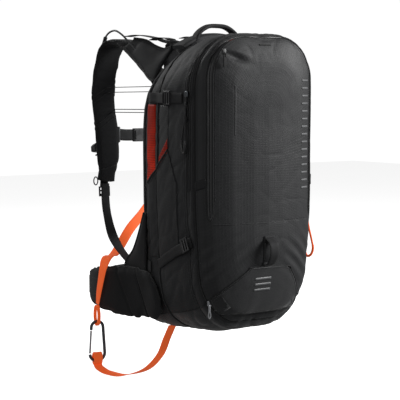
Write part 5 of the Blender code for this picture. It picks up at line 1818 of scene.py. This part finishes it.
class BACKPACK_OT_front_details(bpy.types.Operator):
    """Make the base patch, marks and axe loop."""

    bl_idname = "backpack.front_details"
    bl_label = "Front details"
    bl_options = {"REGISTER", "UNDO"}

    def execute(self, context):
        """Make the base patch, marks and axe loop."""
        make_front_details()
        return {"FINISHED"}


class BACKPACK_OT_side_pockets(bpy.types.Operator):
    """Make the side pockets and their lining."""

    bl_idname = "backpack.side_pockets"
    bl_label = "Side pockets"
    bl_options = {"REGISTER", "UNDO"}

    def execute(self, context):
        """Make the side pockets and their lining."""
        make_side_pockets()
        return {"FINISHED"}


class BACKPACK_OT_straps(bpy.types.Operator):
    """Make the haul loop and the compression straps."""

    bl_idname = "backpack.straps"
    bl_label = "Straps"
    bl_options = {"REGISTER", "UNDO"}

    def execute(self, context):
        """Make the haul loop and the compression straps."""
        make_straps()
        return {"FINISHED"}


class BACKPACK_OT_shoulders(bpy.types.Operator):
    """Make both shoulder straps."""

    bl_idname = "backpack.shoulders"
    bl_label = "Shoulder straps"
    bl_options = {"REGISTER", "UNDO"}

    def execute(self, context):
        """Make both shoulder straps."""
        make_shoulder(-1.0, "left")
        make_shoulder(1.0, "right")
        return {"FINISHED"}


class BACKPACK_OT_chest(bpy.types.Operator):
    """Make the sternum strap."""

    bl_idname = "backpack.chest"
    bl_label = "Sternum strap"
    bl_options = {"REGISTER", "UNDO"}

    def execute(self, context):
        """Make the sternum strap."""
        make_chest()
        return {"FINISHED"}


class BACKPACK_OT_trigger(bpy.types.Operator):
    """Make the release cable and the pull handle."""

    bl_idname = "backpack.trigger"
    bl_label = "Trigger"
    bl_options = {"REGISTER", "UNDO"}

    def execute(self, context):
        """Make the release cable and the pull handle."""
        make_trigger()
        return {"FINISHED"}


class BACKPACK_OT_hip(bpy.types.Operator):
    """Make the hip wings and their webbing."""

    bl_idname = "backpack.hip"
    bl_label = "Hip belt"
    bl_options = {"REGISTER", "UNDO"}

    def execute(self, context):
        """Make the hip wings and their webbing."""
        make_hip()
        return {"FINISHED"}


class BACKPACK_OT_back(bpy.types.Operator):
    """Make the back panel and its pads."""

    bl_idname = "backpack.back"
    bl_label = "Back"
    bl_options = {"REGISTER", "UNDO"}

    def execute(self, context):
        """Make the back panel and its pads."""
        make_back()
        return {"FINISHED"}


class BACKPACK_OT_airbag(bpy.types.Operator):
    """Make the folded airbag and finish its fittings."""

    bl_idname = "backpack.airbag"
    bl_label = "Airbag"
    bl_options = {"REGISTER", "UNDO"}

    def execute(self, context):
        """Make the folded airbag and finish its fittings."""
        make_airbag()
        return {"FINISHED"}


class BACKPACK_OT_pulls(bpy.types.Operator):
    """Make the zip pulls."""

    bl_idname = "backpack.pulls"
    bl_label = "Zip pulls"
    bl_options = {"REGISTER", "UNDO"}

    def execute(self, context):
        """Make the zip pulls."""
        make_pulls()
        return {"FINISHED"}


class BACKPACK_OT_fittings(bpy.types.Operator):
    """Finish the moulded fittings."""

    bl_idname = "backpack.fittings"
    bl_label = "Fittings"
    bl_options = {"REGISTER", "UNDO"}

    def execute(self, context):
        """Finish the moulded fittings."""
        finish_fittings()
        return {"FINISHED"}


OPERATORS = (
    BACKPACK_OT_stage,
    BACKPACK_OT_leg_loop,
    BACKPACK_OT_shell,
    BACKPACK_OT_seams,
    BACKPACK_OT_front_details,
    BACKPACK_OT_side_pockets,
    BACKPACK_OT_straps,
    BACKPACK_OT_shoulders,
    BACKPACK_OT_chest,
    BACKPACK_OT_trigger,
    BACKPACK_OT_hip,
    BACKPACK_OT_back,
    BACKPACK_OT_airbag,
    BACKPACK_OT_pulls,
    BACKPACK_OT_fittings,
)


class BACKPACK_PT_sidebar(bpy.types.Panel):
    """Buttons for the backpack's pieces."""

    bl_idname = "BACKPACK_PT_sidebar"
    bl_label = "Airbag Backpack"
    bl_space_type = "VIEW_3D"
    bl_region_type = "UI"
    bl_category = "Backpack"

    def draw(self, context):
        """List the settings and the operators."""
        for group in (context.scene.backpack_sizes, context.scene.backpack_colours):
            column = self.layout.column(align=True)
            for name in type(group).__annotations__:
                column.prop(group, name)
        column = self.layout.column(align=True)
        for kind in OPERATORS:
            column.operator(kind.bl_idname)


CLASSES = (BackpackSizes, BackpackColours, *OPERATORS, BACKPACK_PT_sidebar)


def register():
    """Add the settings, the operators and the panel."""
    for kind in CLASSES:
        bpy.utils.register_class(kind)
    bpy.types.Scene.backpack_sizes = PointerProperty(type=BackpackSizes)
    bpy.types.Scene.backpack_colours = PointerProperty(type=BackpackColours)


def unregister():
    """Take the settings, the operators and the panel away."""
    del bpy.types.Scene.backpack_sizes
    del bpy.types.Scene.backpack_colours
    for kind in reversed(CLASSES):
        bpy.utils.unregister_class(kind)


def main():
    """Build every piece."""
    register()
    for kind in OPERATORS:
        build = getattr(bpy.ops.backpack, kind.bl_idname.split(".")[1])
        build()


if __name__ == "__main__":
    main()
